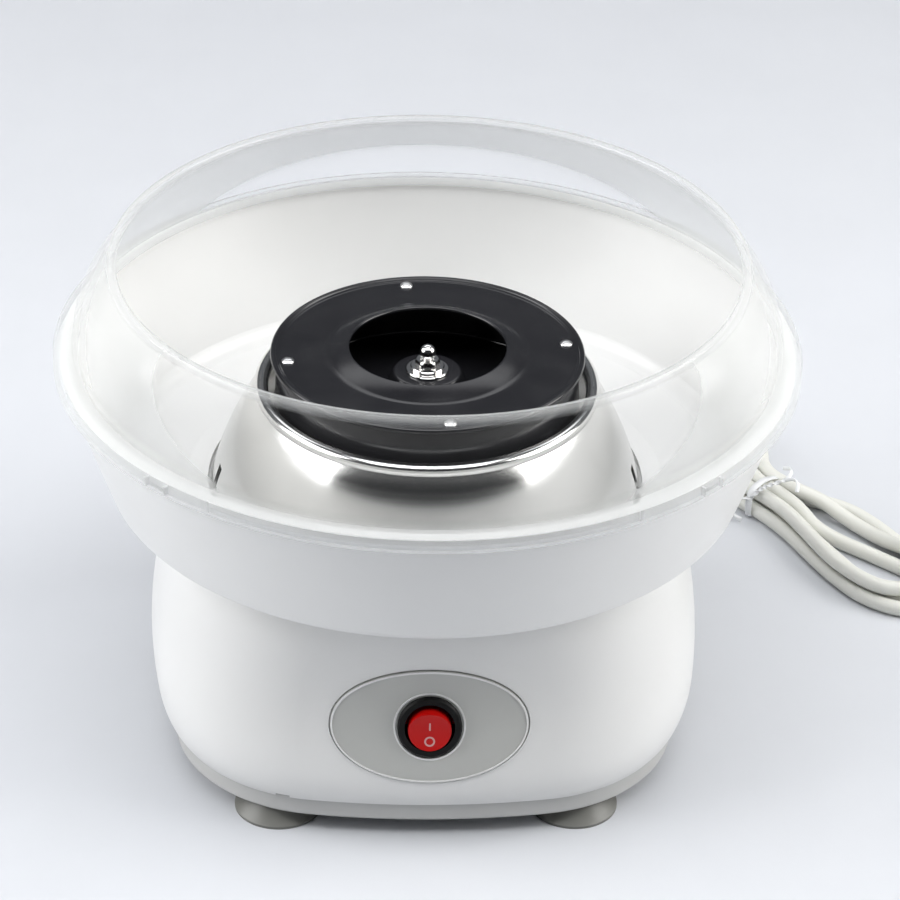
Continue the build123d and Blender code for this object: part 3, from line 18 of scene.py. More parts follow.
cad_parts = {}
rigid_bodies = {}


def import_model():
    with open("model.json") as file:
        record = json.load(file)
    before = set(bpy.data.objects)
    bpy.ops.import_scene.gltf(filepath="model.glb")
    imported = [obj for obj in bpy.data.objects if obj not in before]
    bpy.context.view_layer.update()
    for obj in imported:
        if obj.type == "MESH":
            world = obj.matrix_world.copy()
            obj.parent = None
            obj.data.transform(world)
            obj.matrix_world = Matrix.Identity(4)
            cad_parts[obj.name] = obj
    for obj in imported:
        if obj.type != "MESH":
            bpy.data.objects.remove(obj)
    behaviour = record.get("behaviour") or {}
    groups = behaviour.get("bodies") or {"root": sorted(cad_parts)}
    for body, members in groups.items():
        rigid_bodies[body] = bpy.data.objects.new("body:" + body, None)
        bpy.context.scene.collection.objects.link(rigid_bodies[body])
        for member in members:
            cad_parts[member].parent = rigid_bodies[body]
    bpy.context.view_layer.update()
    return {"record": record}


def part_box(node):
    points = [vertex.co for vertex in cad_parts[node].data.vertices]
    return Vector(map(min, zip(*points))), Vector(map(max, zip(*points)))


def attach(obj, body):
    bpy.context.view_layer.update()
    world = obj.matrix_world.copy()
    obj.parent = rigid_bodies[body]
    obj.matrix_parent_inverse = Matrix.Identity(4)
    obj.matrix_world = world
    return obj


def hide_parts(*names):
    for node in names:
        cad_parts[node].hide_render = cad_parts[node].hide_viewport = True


LOG = logging.getLogger("cotton_candy_machine")
MM = 0.001
SHARP_EDGE = math.radians(38.0)
Colour = tuple[float, float, float]
Point = tuple[float, float, float]
Pair = tuple[float, float]
Socket = bpy.types.NodeSocket
Node = bpy.types.Node
Mesh = bpy.types.Mesh
Piece = bpy.types.Object
Materials = dict[str, bpy.types.Material]


class Body(str, Enum):
    """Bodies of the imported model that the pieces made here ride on."""

    BASE = "base"
    SPINNER = "spinner"
    GUARD = "guard"
    ROCKER = "rocker"


# ---------------------------------------------------------------- node trees
class Graph:
    """Node tree with short calls that add and feed its nodes."""

    def __init__(self, tree: bpy.types.NodeTree) -> None:
        """Take up a tree."""
        self.tree = tree

    def feed(self, node: Node, **sources: object) -> Node:
        """Link or set a node's inputs and set its properties.

        Args:
            node: the node.
            sources: sockets or values by input name with underscores for spaces, by input number as i0, i1,
                or by property name after set_.

        Returns:
            The same node.
        """
        for name, source in sources.items():
            if name.startswith("set_"):
                setattr(node, name[4:], source)
                continue
            numbered = name[0] == "i" and name[1:].isdigit()
            socket = node.inputs[int(name[1:]) if numbered else name.replace("_", " ")]
            if isinstance(source, Socket):
                self.tree.links.new(source, socket)
            else:
                socket.default_value = source
        return node

    def node(self, kind: str, **sources: object) -> Node:
        """Add a node by its full type and feed it."""
        return self.feed(self.tree.nodes.new(kind), **sources)


class Shader(Graph):
    """Node tree of one finish."""

    def __init__(self, name: str) -> None:
        """Start a finish with one Principled shader.

        Args:
            name: the material's name.
        """
        self.material = bpy.data.materials.new(name)
        self.material.use_nodes = True
        super().__init__(self.material.node_tree)
        self.surface = self.tree.nodes["Principled BSDF"]

    def place(self, stretch: Colour = (1.0, 1.0, 1.0)) -> Socket:
        """Point on the piece in metres, in its own frame.

        Args:
            stretch: factors along the three axes.

        Returns:
            The vector socket.
        """
        here = self.node("ShaderNodeTexCoord").outputs["Object"]
        if stretch == (1.0, 1.0, 1.0):
            return here
        return self.node("ShaderNodeMapping", Vector=here, Scale=stretch).outputs["Vector"]

    def turned(self) -> Socket:
        """Coordinate that changes only with the radius and height, for marks left by turning.

        Returns:
            The vector socket, with radius and height as X and Y.
        """
        split = self.node("ShaderNodeSeparateXYZ", Vector=self.place())
        across = self.node("ShaderNodeCombineXYZ", X=split.outputs["X"], Y=split.outputs["Y"])
        radius = self.node("ShaderNodeVectorMath", set_operation="LENGTH", i0=across.outputs["Vector"])
        both = self.node("ShaderNodeCombineXYZ", X=radius.outputs["Value"], Y=split.outputs["Z"])
        return both.outputs["Vector"]

    def noise(self, where: Socket, size: float, detail: float = 2.0) -> Socket:
        """Make a smooth random value around 0.5, with patches of this size and so many finer layers."""
        return self.node("ShaderNodeTexNoise", Vector=where, Scale=1.0 / size, Detail=detail).outputs["Fac"]

    def spread(self, value: Socket, low: float, high: float, start: float = 0.3, end: float = 0.7) -> Socket:
        """Map a value so that start gives low and end gives high."""
        return self.node("ShaderNodeMapRange", Value=value, From_Min=start, From_Max=end, To_Min=low,
                         To_Max=high).outputs["Result"]

    def blend(self, factor: Socket, first: Colour, second: Colour) -> Socket:
        """Mix two linear colours by the share of the second."""
        return self.node("ShaderNodeMix", set_data_type="RGBA", i0=factor, i6=(*first, 1.0),
                         i7=(*second, 1.0)).outputs[2]

    def faded(self, value: Socket, colour: Colour, loss: float) -> Socket:
        """Darken a linear colour with a value around 0.5, by this loss where it is darkest."""
        dark = tuple(part * (1.0 - loss) for part in colour)
        return self.blend(self.spread(value, 0.0, 1.0), colour, dark)

    def bump(self, height: Socket, depth: float) -> Socket:
        """Turn a height from 0 to 1 into a surface normal, for a relief of this depth."""
        return self.node("ShaderNodeBump", Height=height, Distance=depth).outputs["Normal"]


# ---------------------------------------------------------------- finishes
@dataclass(frozen=True)
class Surface:
    """Finish that is painted by nodes, its roughness varied between two shares of itself."""

    rough_shares: ClassVar[Pair] = (1.0, 1.0)

    def paint(self, shader: Shader) -> None:
        """Wire the nodes of the finish."""
        raise NotImplementedError

    def rub(self, shader: Shader, value: Socket, roughness: float) -> Socket:
        """Vary a roughness with a value around 0.5."""
        return shader.spread(value, *(roughness * share for share in self.rough_shares))

    def build(self, name: str) -> bpy.types.Material:
        """Make the material.

        Args:
            name: the material's name.

        Returns:
            The material.
        """
        shader = Shader(name)
        self.paint(shader)
        return shader.material


@dataclass(frozen=True)
class Moulded(Surface):
    """Moulded plastic, rubber or ceramic: soft mottling, a fine grain and faint handling marks."""

    rough_shares: ClassVar[Pair] = (0.9, 1.14)
    colour: Colour
    roughness: float = 0.35
    mottle: float = 0.03
    grain: float = 0.0009
    depth: float = 0.000004
    coat: float = 0.0
    glow: float = 0.0
    specular: float = 0.5
    patch: float = 0.05
    mark: float = 0.012
    mark_stretch: Colour = (1.0, 0.25, 1.6)
    coat_roughness: float = 0.12
    glow_depth: float = 0.004

    def paint(self, shader: Shader) -> None:
        """Wire the nodes of the finish.

        Args:
            shader: the tree to wire.
        """
        here = shader.place()
        marks = shader.noise(shader.place(self.mark_stretch), self.mark, 4.0)
        patches = shader.noise(here, self.patch, 3.0)
        shader.feed(shader.surface, Base_Color=shader.faded(patches, self.colour, self.mottle),
                    Roughness=self.rub(shader, marks, self.roughness), Coat_Weight=self.coat,
                    Normal=shader.bump(shader.noise(here, self.grain, 1.0), self.depth),
                    Coat_Roughness=self.coat_roughness, Specular_IOR_Level=self.specular,
                    Subsurface_Weight=self.glow, Subsurface_Scale=self.glow_depth,
                    Subsurface_Radius=(1.0, 1.0, 1.0))


@dataclass(frozen=True)
class Turned(Surface):
    """Metal spun or turned about the machine's upright axis, with fine rings left by the tool."""

    rough_shares: ClassVar[Pair] = (0.8, 1.25)
    colour: Colour
    roughness: float = 0.2
    ring: float = 0.0006
    depth: float = 0.000002
    anisotropy: float = 0.5
    stain: float = 0.05
    stain_size: float = 0.02
    rings_in_band: float = 9.0
    quarter_turn: float = 0.25

    def paint(self, shader: Shader) -> None:
        """Wire the nodes of the finish.

        Args:
            shader: the tree to wire.
        """
        rings = shader.noise(shader.turned(), self.ring, 3.0)
        bands = shader.noise(shader.turned(), self.ring * self.rings_in_band, 2.0)
        stains = shader.noise(shader.place(), self.stain_size, 4.0)
        along = shader.node("ShaderNodeTangent", set_direction_type="RADIAL", set_axis="Z").outputs["Tangent"]
        shader.feed(shader.surface, Metallic=1.0, Tangent=along, Anisotropic=self.anisotropy,
                    Anisotropic_Rotation=self.quarter_turn, Normal=shader.bump(rings, self.depth),
                    Base_Color=shader.faded(stains, self.colour, self.stain),
                    Roughness=self.rub(shader, bands, self.roughness))


@dataclass(frozen=True)
class Plated(Surface):
    """Plated, rolled or drawn metal: cloudy lustre and fine scratches."""

    rough_shares: ClassVar[Pair] = (0.75, 1.3)
    colour: Colour
    roughness: float = 0.22
    scratch: float = 0.0005
    depth: float = 0.000002
    stain: float = 0.12
    cloud: float = 0.006
    scratch_stretch: Colour = (1.0, 0.08, 0.5)

    def paint(self, shader: Shader) -> None:
        """Wire the nodes of the finish.

        Args:
            shader: the tree to wire.
        """
        clouds = shader.noise(shader.place(), self.cloud, 4.0)
        scratches = shader.noise(shader.place(self.scratch_stretch), self.scratch, 3.0)
        shader.feed(shader.surface, Metallic=1.0, Base_Color=shader.faded(clouds, self.colour, self.stain),
                    Roughness=self.rub(shader, clouds, self.roughness),
                    Normal=shader.bump(scratches, self.depth))


@dataclass(frozen=True)
class Enamel(Surface):
    """Glossy baked enamel on pressed metal, with a slight orange peel and settled dust."""

    rough_shares: ClassVar[Pair] = (0.75, 1.35)
    colour: Colour
    dust: Colour = (0.018, 0.018, 0.02)
    roughness: float = 0.2
    peel: float = 0.0026
    depth: float = 0.000004
    specular: float = 0.5
    speck: float = 0.0008
    speck_cover: float = 0.45
    speck_range: Pair = (0.66, 0.76)
    film: float = 0.015

    def paint(self, shader: Shader) -> None:
        """Wire the nodes of the finish.

        Args:
            shader: the tree to wire.
        """
        here = shader.place()
        specks = shader.spread(shader.noise(here, self.speck, 5.0), 0.0, self.speck_cover, *self.speck_range)
        shader.feed(shader.surface, Base_Color=shader.blend(specks, self.colour, self.dust),
                    Roughness=self.rub(shader, shader.noise(here, self.film, 3.0), self.roughness),
                    Specular_IOR_Level=self.specular,
                    Normal=shader.bump(shader.noise(here, self.peel, 1.0), self.depth))


@dataclass(frozen=True)
class Clear(Surface):
    """Clear thin moulded wall: a faint veil, thicker at a glancing angle, and a painted highlight, made of
    extra opacity of the pale tint, on the flange and on the rim.
    """

    rough_shares: ClassVar[Pair] = (0.7, 1.5)
    tint: Colour = (0.73, 0.74, 0.73)
    roughness: float = 0.12
    index: float = 1.35
    veil: float = 0.005
    rim: float = 0.42
    glance_range: Pair = (0.03, 0.8)
    # heights and opacities of the painted highlights on the flange and on the rolled rim
    flange_fade: Pair = (0.152, 0.155)
    flange_veil: float = 0.104
    bead_fade: Pair = (0.1828, 0.1838)
    bead_veil: float = 0.26
    smear: float = 0.02
    smear_loss: float = 0.03
    wave: float = 0.014
    wave_depth: float = 0.00002

    def paint(self, shader: Shader) -> None:
        """Wire the nodes of the finish.

        Args:
            shader: the tree to wire.
        """
        here = shader.place()
        smears = shader.noise(here, self.smear, 4.0)
        wave = shader.bump(shader.noise(here, self.wave, 1.0), self.wave_depth)
        glance = shader.node("ShaderNodeFresnel", IOR=self.index, Normal=wave).outputs["Fac"]
        height = shader.node("ShaderNodeSeparateXYZ", Vector=here).outputs["Z"]
        # painted highlight: the pale tint is made more opaque low down on the flange and high up on the rolled
        # rim, standing for the light caught along those clear edges
        low = shader.spread(height, self.flange_veil, 0.0, *self.flange_fade)
        high = shader.spread(height, 0.0, self.bead_veil, *self.bead_fade)
        edges = shader.node("ShaderNodeMath", set_operation="ADD", i0=low, i1=high).outputs["Value"]
        wall = shader.spread(glance, self.veil, self.rim, *self.glance_range)
        whole = shader.node("ShaderNodeMath", set_operation="ADD", set_use_clamp=True, i0=wall, i1=edges)
        shader.feed(shader.surface, Base_Color=shader.faded(smears, self.tint, self.smear_loss), Normal=wave,
                    Roughness=self.rub(shader, smears, self.roughness), Alpha=whole.outputs["Value"])


class Finish(Enum):
    """Finishes of the record's material slots."""

    WHITE_PLASTIC = Moulded((0.77, 0.77, 0.76), 0.34, coat=0.1)
    GREY_PLASTIC = Moulded((0.50, 0.50, 0.49), 0.5)
    PANEL_PLASTIC = Moulded((0.49, 0.495, 0.475), 0.55, grain=0.0004, depth=0.00002)
    FOOT_RUBBER = Moulded((0.17, 0.17, 0.155), 0.4, glow=0.2)
    BLACK_PLASTIC = Moulded((0.005, 0.005, 0.005), 0.42, specular=0.15)
    RED_PLASTIC = Moulded((0.52, 0.004, 0.003), 0.35, specular=0.2)
    CLEAR_PLASTIC = Clear()
    POLISHED_ALUMINIUM = Turned((0.72, 0.72, 0.71), 0.19, anisotropy=0.35)
    SATIN_ALUMINIUM = Turned((0.72, 0.72, 0.72), 0.3)
    BLACK_ENAMEL = Enamel((0.012, 0.012, 0.014))
    ZINC_STEEL = Plated((0.62, 0.63, 0.64), 0.3)
    BRIGHT_STEEL = Plated((0.9, 0.89, 0.87), 0.15, depth=0.000001)
    DARK_STEEL = Plated((0.2, 0.2, 0.21), 0.4)
    HEATER_SHEATH = Plated((0.3, 0.27, 0.24), 0.38, stain=0.45)
    CERAMIC = Moulded((0.78, 0.75, 0.68), 0.75, mottle=0.12, grain=0.0003, depth=0.00002)
    COPPER = Turned((0.75, 0.32, 0.14), 0.3, ring=0.0005, depth=0.00006)
    BRASS = Plated((0.76, 0.56, 0.26), 0.25)
    BRONZE = Plated((0.55, 0.38, 0.2), 0.45)
    CARBON = Moulded((0.02, 0.02, 0.02), 0.6, grain=0.0003, depth=0.00002)
    FERRITE = Moulded((0.07, 0.07, 0.075), 0.65, grain=0.0004, depth=0.00003)
    BOARD = Moulded((0.5, 0.35, 0.16), 0.55, mottle=0.15)
    COMPONENT_BLACK = Moulded((0.02, 0.02, 0.022), 0.5)
    NATURAL_NYLON = Moulded((0.74, 0.72, 0.64), 0.45, glow=0.2)
    LEAD_SHEATH = Moulded((0.06, 0.12, 0.4), 0.35)
    WHITE_CORD = Moulded((0.7, 0.7, 0.65), 0.42, grain=0.0012, depth=0.00001, glow=0.1)
    CLEAR_TIE = Moulded((0.8, 0.81, 0.82), 0.3, glow=0.3)


# ---------------------------------------------------------------- mesh making
def piece(name: str, data: bpy.types.ID) -> Piece:
    """Put mesh or curve data in the scene under its own name.

    Args:
        name: the piece's name.
        data: its mesh or curve.

    Returns:
        The object, at the origin.
    """
    made = bpy.data.objects.new(name, data)
    bpy.context.collection.objects.link(made)
    return made


def settle(data: Mesh, sharp: float = SHARP_EDGE) -> Mesh:
    """Merge doubles, turn all faces outwards and smooth all but the sharp edges.

    Args:
        data: the mesh.
        sharp: edges bent by more than this angle stay sharp, in radians.

    Returns:
        The same mesh.
    """
    work = bmesh.new()
    work.from_mesh(data)
    bmesh.ops.remove_doubles(work, verts=work.verts, dist=0.000001)
    bmesh.ops.recalc_face_normals(work, faces=work.faces)
    work.to_mesh(data)
    work.free()
    data.shade_smooth()
    data.set_sharp_from_angle(angle=sharp)
    return data


def faced_mesh(name: str, verts: list[Point], faces: list[list[int]]) -> Mesh:
    """Make a mesh from corners and faces.

    Args:
        name: the mesh's name.
        verts: its corners, in metres.
        faces: the corners of each face.

    Returns:
        The settled mesh.
    """
    data = bpy.data.meshes.new(name)
    data.from_pydata(verts, [], faces)
    return settle(data)


def joined(name: str, parts: list[Mesh]) -> Mesh:
    """Put several meshes into one.

    Args:
        name: the mesh's name.
        parts: the meshes, which are used up.

    Returns:
        The mesh.
    """
    work = bmesh.new()
    for part in parts:
        work.from_mesh(part)
        bpy.data.meshes.remove(part)
    data = bpy.data.meshes.new(name)
    work.to_mesh(data)
    work.free()
    return data


def nurbs(name: str, points: list[Point], steps: int) -> bpy.types.Curve:
    """Make one smooth curve of order 3 from its first point to its last.

    Args:
        name: the curve's name.
        points: its control points, in metres.
        steps: pieces drawn for each point.

    Returns:
        The curve.
    """
    curve = bpy.data.curves.new(name, "CURVE")
    curve.dimensions = "3D"
    spline = curve.splines.new("NURBS")
    spline.points.add(len(points) - 1)
    for knot, point in zip(spline.points, points):
        knot.co = (*point, 1.0)
    spline.order_u = 3
    spline.use_endpoint_u = True
    spline.resolution_u = steps
    return curve


def arc(start: Pair, middle: Pair, end: Pair, steps: int) -> list[Pair]:
    """List points on the arc through three points.

    Args:
        start: first point, radius and height.
        middle: a point between.
        end: last point.
        steps: number of pieces.

    Returns:
        Points from start to end.
    """
    ax, ay = middle[0] - start[0], middle[1] - start[1]
    bx, by = end[0] - start[0], end[1] - start[1]
    twice = 2.0 * (ax * by - ay * bx)
    a2, b2 = ax * ax + ay * ay, bx * bx + by * by
    cx, cy = start[0] + (by * a2 - ay * b2) / twice, start[1] + (ax * b2 - bx * a2) / twice
    radius = math.hypot(start[0] - cx, start[1] - cy)
    first = math.atan2(start[1] - cy, start[0] - cx)
    turn = math.atan2(end[1] - cy, end[0] - cx) - first
    turn = turn % (2.0 * math.pi) if twice > 0.0 else -((-turn) % (2.0 * math.pi))
    return [(cx + radius * math.cos(first + turn * n / steps), cy + radius * math.sin(first + turn * n / steps))
            for n in range(steps + 1)]


def turned_mesh(name: str, profile: list[Pair], segments: int, sides: int = 0) -> Mesh:
    """Turn a closed profile about the upright axis.

    Args:
        name: the mesh's name.
        profile: radius and height of its corners in millimetres, once round.
        segments: number of steps round the axis.
        sides: number of flats cut round the outside, or 0 for none.

    Returns:
        The closed mesh, in metres.
    """
    widest = max(radius for radius, height in profile)

    def limit(turn: float) -> float:
        """Find how far out a direction may reach."""
        if not sides:
            return widest
        half = math.pi / sides
        return widest * math.cos(half) / math.cos((turn % (2.0 * half)) - half)

    verts: list[Point] = []
    rings: list[list[int]] = []
    for radius, height in profile:
        count = segments if radius > 1e-6 else 1
        first = len(verts)
        for n in range(count):
            turn = 2.0 * math.pi * n / segments
            reach = min(radius, limit(turn))
            verts.append((reach * math.cos(turn) * MM, reach * math.sin(turn) * MM, height * MM))
        rings.append([first + n % count for n in range(segments)])
    faces = []
    for ring, above in zip(rings, rings[1:] + rings[:1]):
        for n in range(segments):
            m = (n + 1) % segments
            corners = list(dict.fromkeys((ring[n], ring[m], above[m], above[n])))
            if len(corners) > 2:
                faces.append(corners)
    return faced_mesh(name, verts, faces)


def quads(first: int, count: int, rows: int, steps: int) -> list[list[int]]:
    """List the quads between rows of corners that each run once round.

    Args:
        first: number of the first corner.
        count: corners in a row.
        rows: number of rows.
        steps: rows to step over, as many as there are rows when the last joins the first.

    Returns:
        The corners of each quad.
    """
    faces = []
    for row in range(steps):
        low, high = first + row * count, first + (row + 1) % rows * count
        for n in range(count):
            m = (n + 1) % count
            faces.append([low + n, low + m, high + m, high + n])
    return faces


def lofted_mesh(name: str, sections: list[list[Point]]) -> Mesh:
    """Join closed sections of equal count into a skin with both ends closed.

    Args:
        name: the mesh's name.
        sections: the sections, in metres.

    Returns:
        The closed mesh.
    """
    count, rows = len(sections[0]), len(sections)
    verts = [corner for section in sections for corner in section]
    ends = [list(range(count)), [len(verts) - count + n for n in range(count)]]
    return faced_mesh(name, verts, quads(0, count, rows, rows - 1) + ends)


def block_mesh(size: Point, place: Matrix) -> Mesh:
    """Make a plain block for cutting with.

    Args:
        size: its three sizes, in millimetres.
        place: its place, in metres.

    Returns:
        The mesh.
    """
    data = bpy.data.meshes.new("cutter")
    work = bmesh.new()
    bmesh.ops.create_cube(work, size=1.0)
    scale = Matrix.Diagonal((size[0] * MM, size[1] * MM, size[2] * MM, 1.0))
    bmesh.ops.transform(work, matrix=place @ scale, verts=work.verts)
    work.to_mesh(data)
    work.free()
    return data


def baked(source: Piece) -> Mesh:
    """Turn an object with its modifiers into one plain mesh and remove the object.

    Args:
        source: the object.

    Returns:
        The plain mesh.
    """
    view = bpy.context.evaluated_depsgraph_get()
    data = bpy.data.meshes.new_from_object(source.evaluated_get(view))
    bpy.data.objects.remove(source)
    return data


def carved(data: Mesh, cutters: list[Mesh]) -> Mesh:
    """Cut blocks out of a mesh.

    Args:
        data: the mesh.
        cutters: the meshes of the blocks.

    Returns:
        The cut mesh.
    """
    body = piece("carving", data)
    tools = [piece("carving_tool", cutter) for cutter in cutters]
    for tool in tools:
        cut = body.modifiers.new("cut", "BOOLEAN")
        cut.operation = "DIFFERENCE"
        cut.solver = "EXACT"
        cut.object = tool
    result = baked(body)
    for tool in tools:
        bpy.data.objects.remove(tool)
    return settle(result)


# ---------------------------------------------------------------- what repeats
class Repeat(Graph):
    """Geometry Nodes tree that repeats one pattern piece, on a ring or on given spots."""

    def __init__(self, name: str) -> None:
        """Start a tree with its geometry sockets.

        Args:
            name: the tree's name.
        """
        super().__init__(bpy.data.node_groups.new(name, "GeometryNodeTree"))
        self.sockets: dict[str, str] = {}
        self.tree.interface.new_socket("Geometry", in_out="OUTPUT", socket_type="NodeSocketGeometry")
        self.add_inputs(Spots="Geometry", Pattern="Object", Finish="Material")
        self.start = self.tree.nodes.new("NodeGroupInput")
        self.end = self.tree.nodes.new("NodeGroupOutput")

    def add_inputs(self, **kinds: str) -> None:
        """Add named inputs.

        Args:
            kinds: the socket type of each without its prefix, with underscores for spaces in the names.
        """
        for name, kind in kinds.items():
            label = name.replace("_", " ")
            made = self.tree.interface.new_socket(label, in_out="INPUT", socket_type="NodeSocket" + kind)
            self.sockets[label] = made.identifier

    def close(self, points: Socket, rotation: Socket) -> None:
        """Put the pattern on the points, then realize it and set its material.

        Args:
            points: the points socket.
            rotation: the rotation of each instance.
        """
        info = self.node("GeometryNodeObjectInfo", Object=self.start.outputs["Pattern"])
        placed = self.node("GeometryNodeInstanceOnPoints", Points=points, Instance=info.outputs["Geometry"],
                           Rotation=rotation)
        real = self.node("GeometryNodeRealizeInstances", Geometry=placed.outputs["Instances"])
        dressed = self.node("GeometryNodeSetMaterial", Geometry=real.outputs["Geometry"],
                            Material=self.start.outputs["Finish"])
        self.feed(self.end, Geometry=dressed.outputs["Geometry"])

    def apply(self, spots: Mesh, pattern: Mesh, finish: bpy.types.Material, **values: float) -> Mesh:
        """Run the tree and keep its result as a plain mesh.

        Args:
            spots: mesh whose points the tree starts from.
            pattern: mesh of one pattern piece.
            finish: its material.
            values: the tree's other inputs, with underscores for spaces.

        Returns:
            The mesh.
        """
        base, one = piece("spots", spots), piece("pattern", pattern)
        step = base.modifiers.new("repeat", "NODES")
        step.node_group = self.tree
        step[self.sockets["Pattern"]] = one
        step[self.sockets["Finish"]] = finish
        for label, value in values.items():
            step[self.sockets[label.replace("_", " ")]] = value
        data = baked(base)
        bpy.data.objects.remove(one)
        data.set_sharp_from_angle(angle=SHARP_EDGE)
        return data


class RingRepeat(Repeat):
    """Pattern repeated evenly on a ring about the upright axis, each copy turned outwards."""

    def __init__(self) -> None:
        """Build the tree."""
        super().__init__("ring_repeat")
        self.add_inputs(Count="Int", Ring_Radius="Float", First_Turn="Float", Height="Float")
        share = self.node("ShaderNodeMath", set_operation="DIVIDE", i0=2.0 * math.pi,
                          i1=self.start.outputs["Count"])
        index = self.node("GeometryNodeInputIndex")
        turn = self.node("ShaderNodeMath", set_operation="MULTIPLY_ADD", i0=index.outputs["Index"],
                         i1=share.outputs[0], i2=self.start.outputs["First Turn"])
        outwards = self.node("ShaderNodeCombineXYZ", Z=turn.outputs[0])
        ring = self.node("GeometryNodeMeshCircle", Vertices=self.start.outputs["Count"],
                         Radius=self.start.outputs["Ring Radius"])
        swing = self.node("ShaderNodeCombineXYZ", Z=self.start.outputs["First Turn"])
        rise = self.node("ShaderNodeCombineXYZ", Z=self.start.outputs["Height"])
        moved = self.node("GeometryNodeTransform", Geometry=ring.outputs["Mesh"], Translation=rise.outputs[0],
                          Rotation=swing.outputs[0])
        self.close(moved.outputs["Geometry"], outwards.outputs[0])

    def four(self, pattern: Mesh, finish: bpy.types.Material, radius: float, turn: float,
             height: float) -> Mesh:
        """Repeat a pattern four times on a ring.

        Args:
            pattern: mesh of one pattern piece.
            finish: its material.
            radius: radius of the ring, in millimetres.
            turn: direction of the first copy, in degrees.
            height: height of the ring, in metres.

        Returns:
            The mesh.
        """
        return self.apply(spots_mesh([(0, 0, 0)]), pattern, finish, Count=4, Ring_Radius=radius * MM,
                          First_Turn=math.radians(turn), Height=height)


class SpotRepeat(Repeat):
    """Pattern repeated on given spots, each copy turned by a seeded random angle about its own axis."""

    def __init__(self) -> None:
        """Build the tree."""
        super().__init__("spot_repeat")
        self.add_inputs(Tip="Float", Seed="Int")
        chance = self.node("FunctionNodeRandomValue", set_data_type="FLOAT", Seed=self.start.outputs["Seed"])
        turn = self.node("ShaderNodeMath", set_operation="MULTIPLY", i0=chance.outputs[1], i1=2.0 * math.pi)
        angles = self.node("ShaderNodeCombineXYZ", X=self.start.outputs["Tip"], Z=turn.outputs[0])
        self.close(self.start.outputs["Spots"], angles.outputs[0])


def spots_mesh(spots: list[Point]) -> Mesh:
    """Make a mesh of loose points.

    Args:
        spots: the points in millimetres.

    Returns:
        The mesh, in metres.
    """
    data = bpy.data.meshes.new("spots")
    data.from_pydata([(x * MM, y * MM, z * MM) for x, y, z in spots], [], [])
    return data


@dataclass
class Assembly:
    """Pieces made here in place of packed ones."""

    materials: Materials

    def fit(self, name: str, data: Mesh | bpy.types.Curve, body: Body, slot: str, *nodes: str) -> Piece:
        """Put a piece in the scene on its body.

        Args:
            name: the piece's name.
            data: its mesh or curve, in the slot's material unless it has its own.
            body: the body it rides on.
            slot: its material slot.
            nodes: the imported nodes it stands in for.

        Returns:
            The piece.
        """
        made = piece(name, data)
        if not data.materials:
            data.materials.append(self.materials[slot])
        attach(made, body.value)
        if nodes:
            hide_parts(*nodes)
        LOG.info("%s: %s on %s", name, slot, body.value)
        return made


@dataclass
class CrossScrew:
    """Pan-head screw with a cross recess and a cut thread, its head's underside at the origin."""

    head_radius: float = 3.3
    head_height: float = 2.0
    shank_radius: float = 1.5
    shank_length: float = 14.8
    pitch: float = 1.1
    thread_depth: float = 0.25
    recess_width: float = 0.8
    recess_reach: float = 3.8
    recess_block: float = 2.2
    thread_start: float = 1.2
    plain_end: float = 2.0
    segments: int = 32

    def mesh(self) -> Mesh:
        """Make one screw.

        Returns:
            The mesh.
        """
        dome = arc((0.0, self.head_height), (self.head_radius * 0.66, self.head_height * 0.82),
                   (self.head_radius, self.head_height * 0.28), 8)
        profile = dome + [(self.head_radius, 0.0), (self.shank_radius, 0.0)]
        height, root = -self.thread_start, self.shank_radius - self.thread_depth
        while height > self.plain_end - self.shank_length:
            profile += [(self.shank_radius, height), (root, height - self.pitch * 0.35),
                        (root, height - self.pitch * 0.65)]
            height -= self.pitch
        profile += [(self.shank_radius, height), (0.0, -self.shank_length)]
        reach, width, tall = self.recess_reach, self.recess_width, self.recess_block
        cuts = [block_mesh(size, Matrix.Translation((0, 0, tall * MM)))
                for size in ((reach, width, tall), (width, reach, tall))]
        return carved(turned_mesh("cross_screw", profile, self.segments), cuts)


@dataclass
class Fasteners(Assembly):
    """Screws that close the base and hold the furnace pan, and the rivets of the spinning head."""

    closing_x: float = 66.0
    closing_y: float = 42.0
    closing_level: float = 8.8
    pan_circle: float = 71.0
    rivet_circle: float = 51.0
    rivet_turn: float = 97.5
    rivet_radius: float = 2.35
    rivet_dome: float = 1.25
    rivet_head: float = 1.2
    shank_radius: float = 1.45
    shank_length: float = 5.8
    seed: int = 4

    def rivet(self) -> Mesh:
        """Make one domed rivet, its head's underside at the origin.

        Returns:
            The mesh.
        """
        dome = arc((0.0, self.rivet_dome), (self.rivet_radius * 0.6, self.rivet_dome * 0.82),
                   (self.rivet_radius, 0.25), 10)
        shank = [(self.rivet_radius, 0.0), (self.shank_radius, 0.0), (self.shank_radius, -self.shank_length),
                 (0.0, -self.shank_length)]
        return turned_mesh("rivet", dome + shank, 32)

    def build(self) -> None:
        """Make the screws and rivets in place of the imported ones."""
        ring_tree = RingRepeat()
        zinc, satin = self.materials["zinc_steel"], self.materials["satin_aluminium"]
        corners = [(sx * self.closing_x, sy * self.closing_y, self.closing_level)
                   for sx in (1, -1) for sy in (1, -1)]
        closing = SpotRepeat().apply(spots_mesh(corners), CrossScrew().mesh(), zinc, Tip=math.pi,
                                     Seed=self.seed)
        self.fit("base_screws", closing, Body.BASE, "zinc_steel", "plate_screws")
        pan_screw = CrossScrew(head_radius=2.6, head_height=1.6, shank_length=7.0, recess_reach=3.0)
        pan = ring_tree.four(pan_screw.mesh(), zinc, self.pan_circle, 0.0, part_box("furnace_pan")[1][2])
        self.fit("pan_screws", pan, Body.BASE, "zinc_steel", "furnace_screws")
        rivets = ring_tree.four(self.rivet(), satin, self.rivet_circle, self.rivet_turn,
                                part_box("head_rivets")[1][2] - self.rivet_head * MM)
        self.fit("plate_rivets", rivets, Body.SPINNER, "satin_aluminium", "head_rivets")


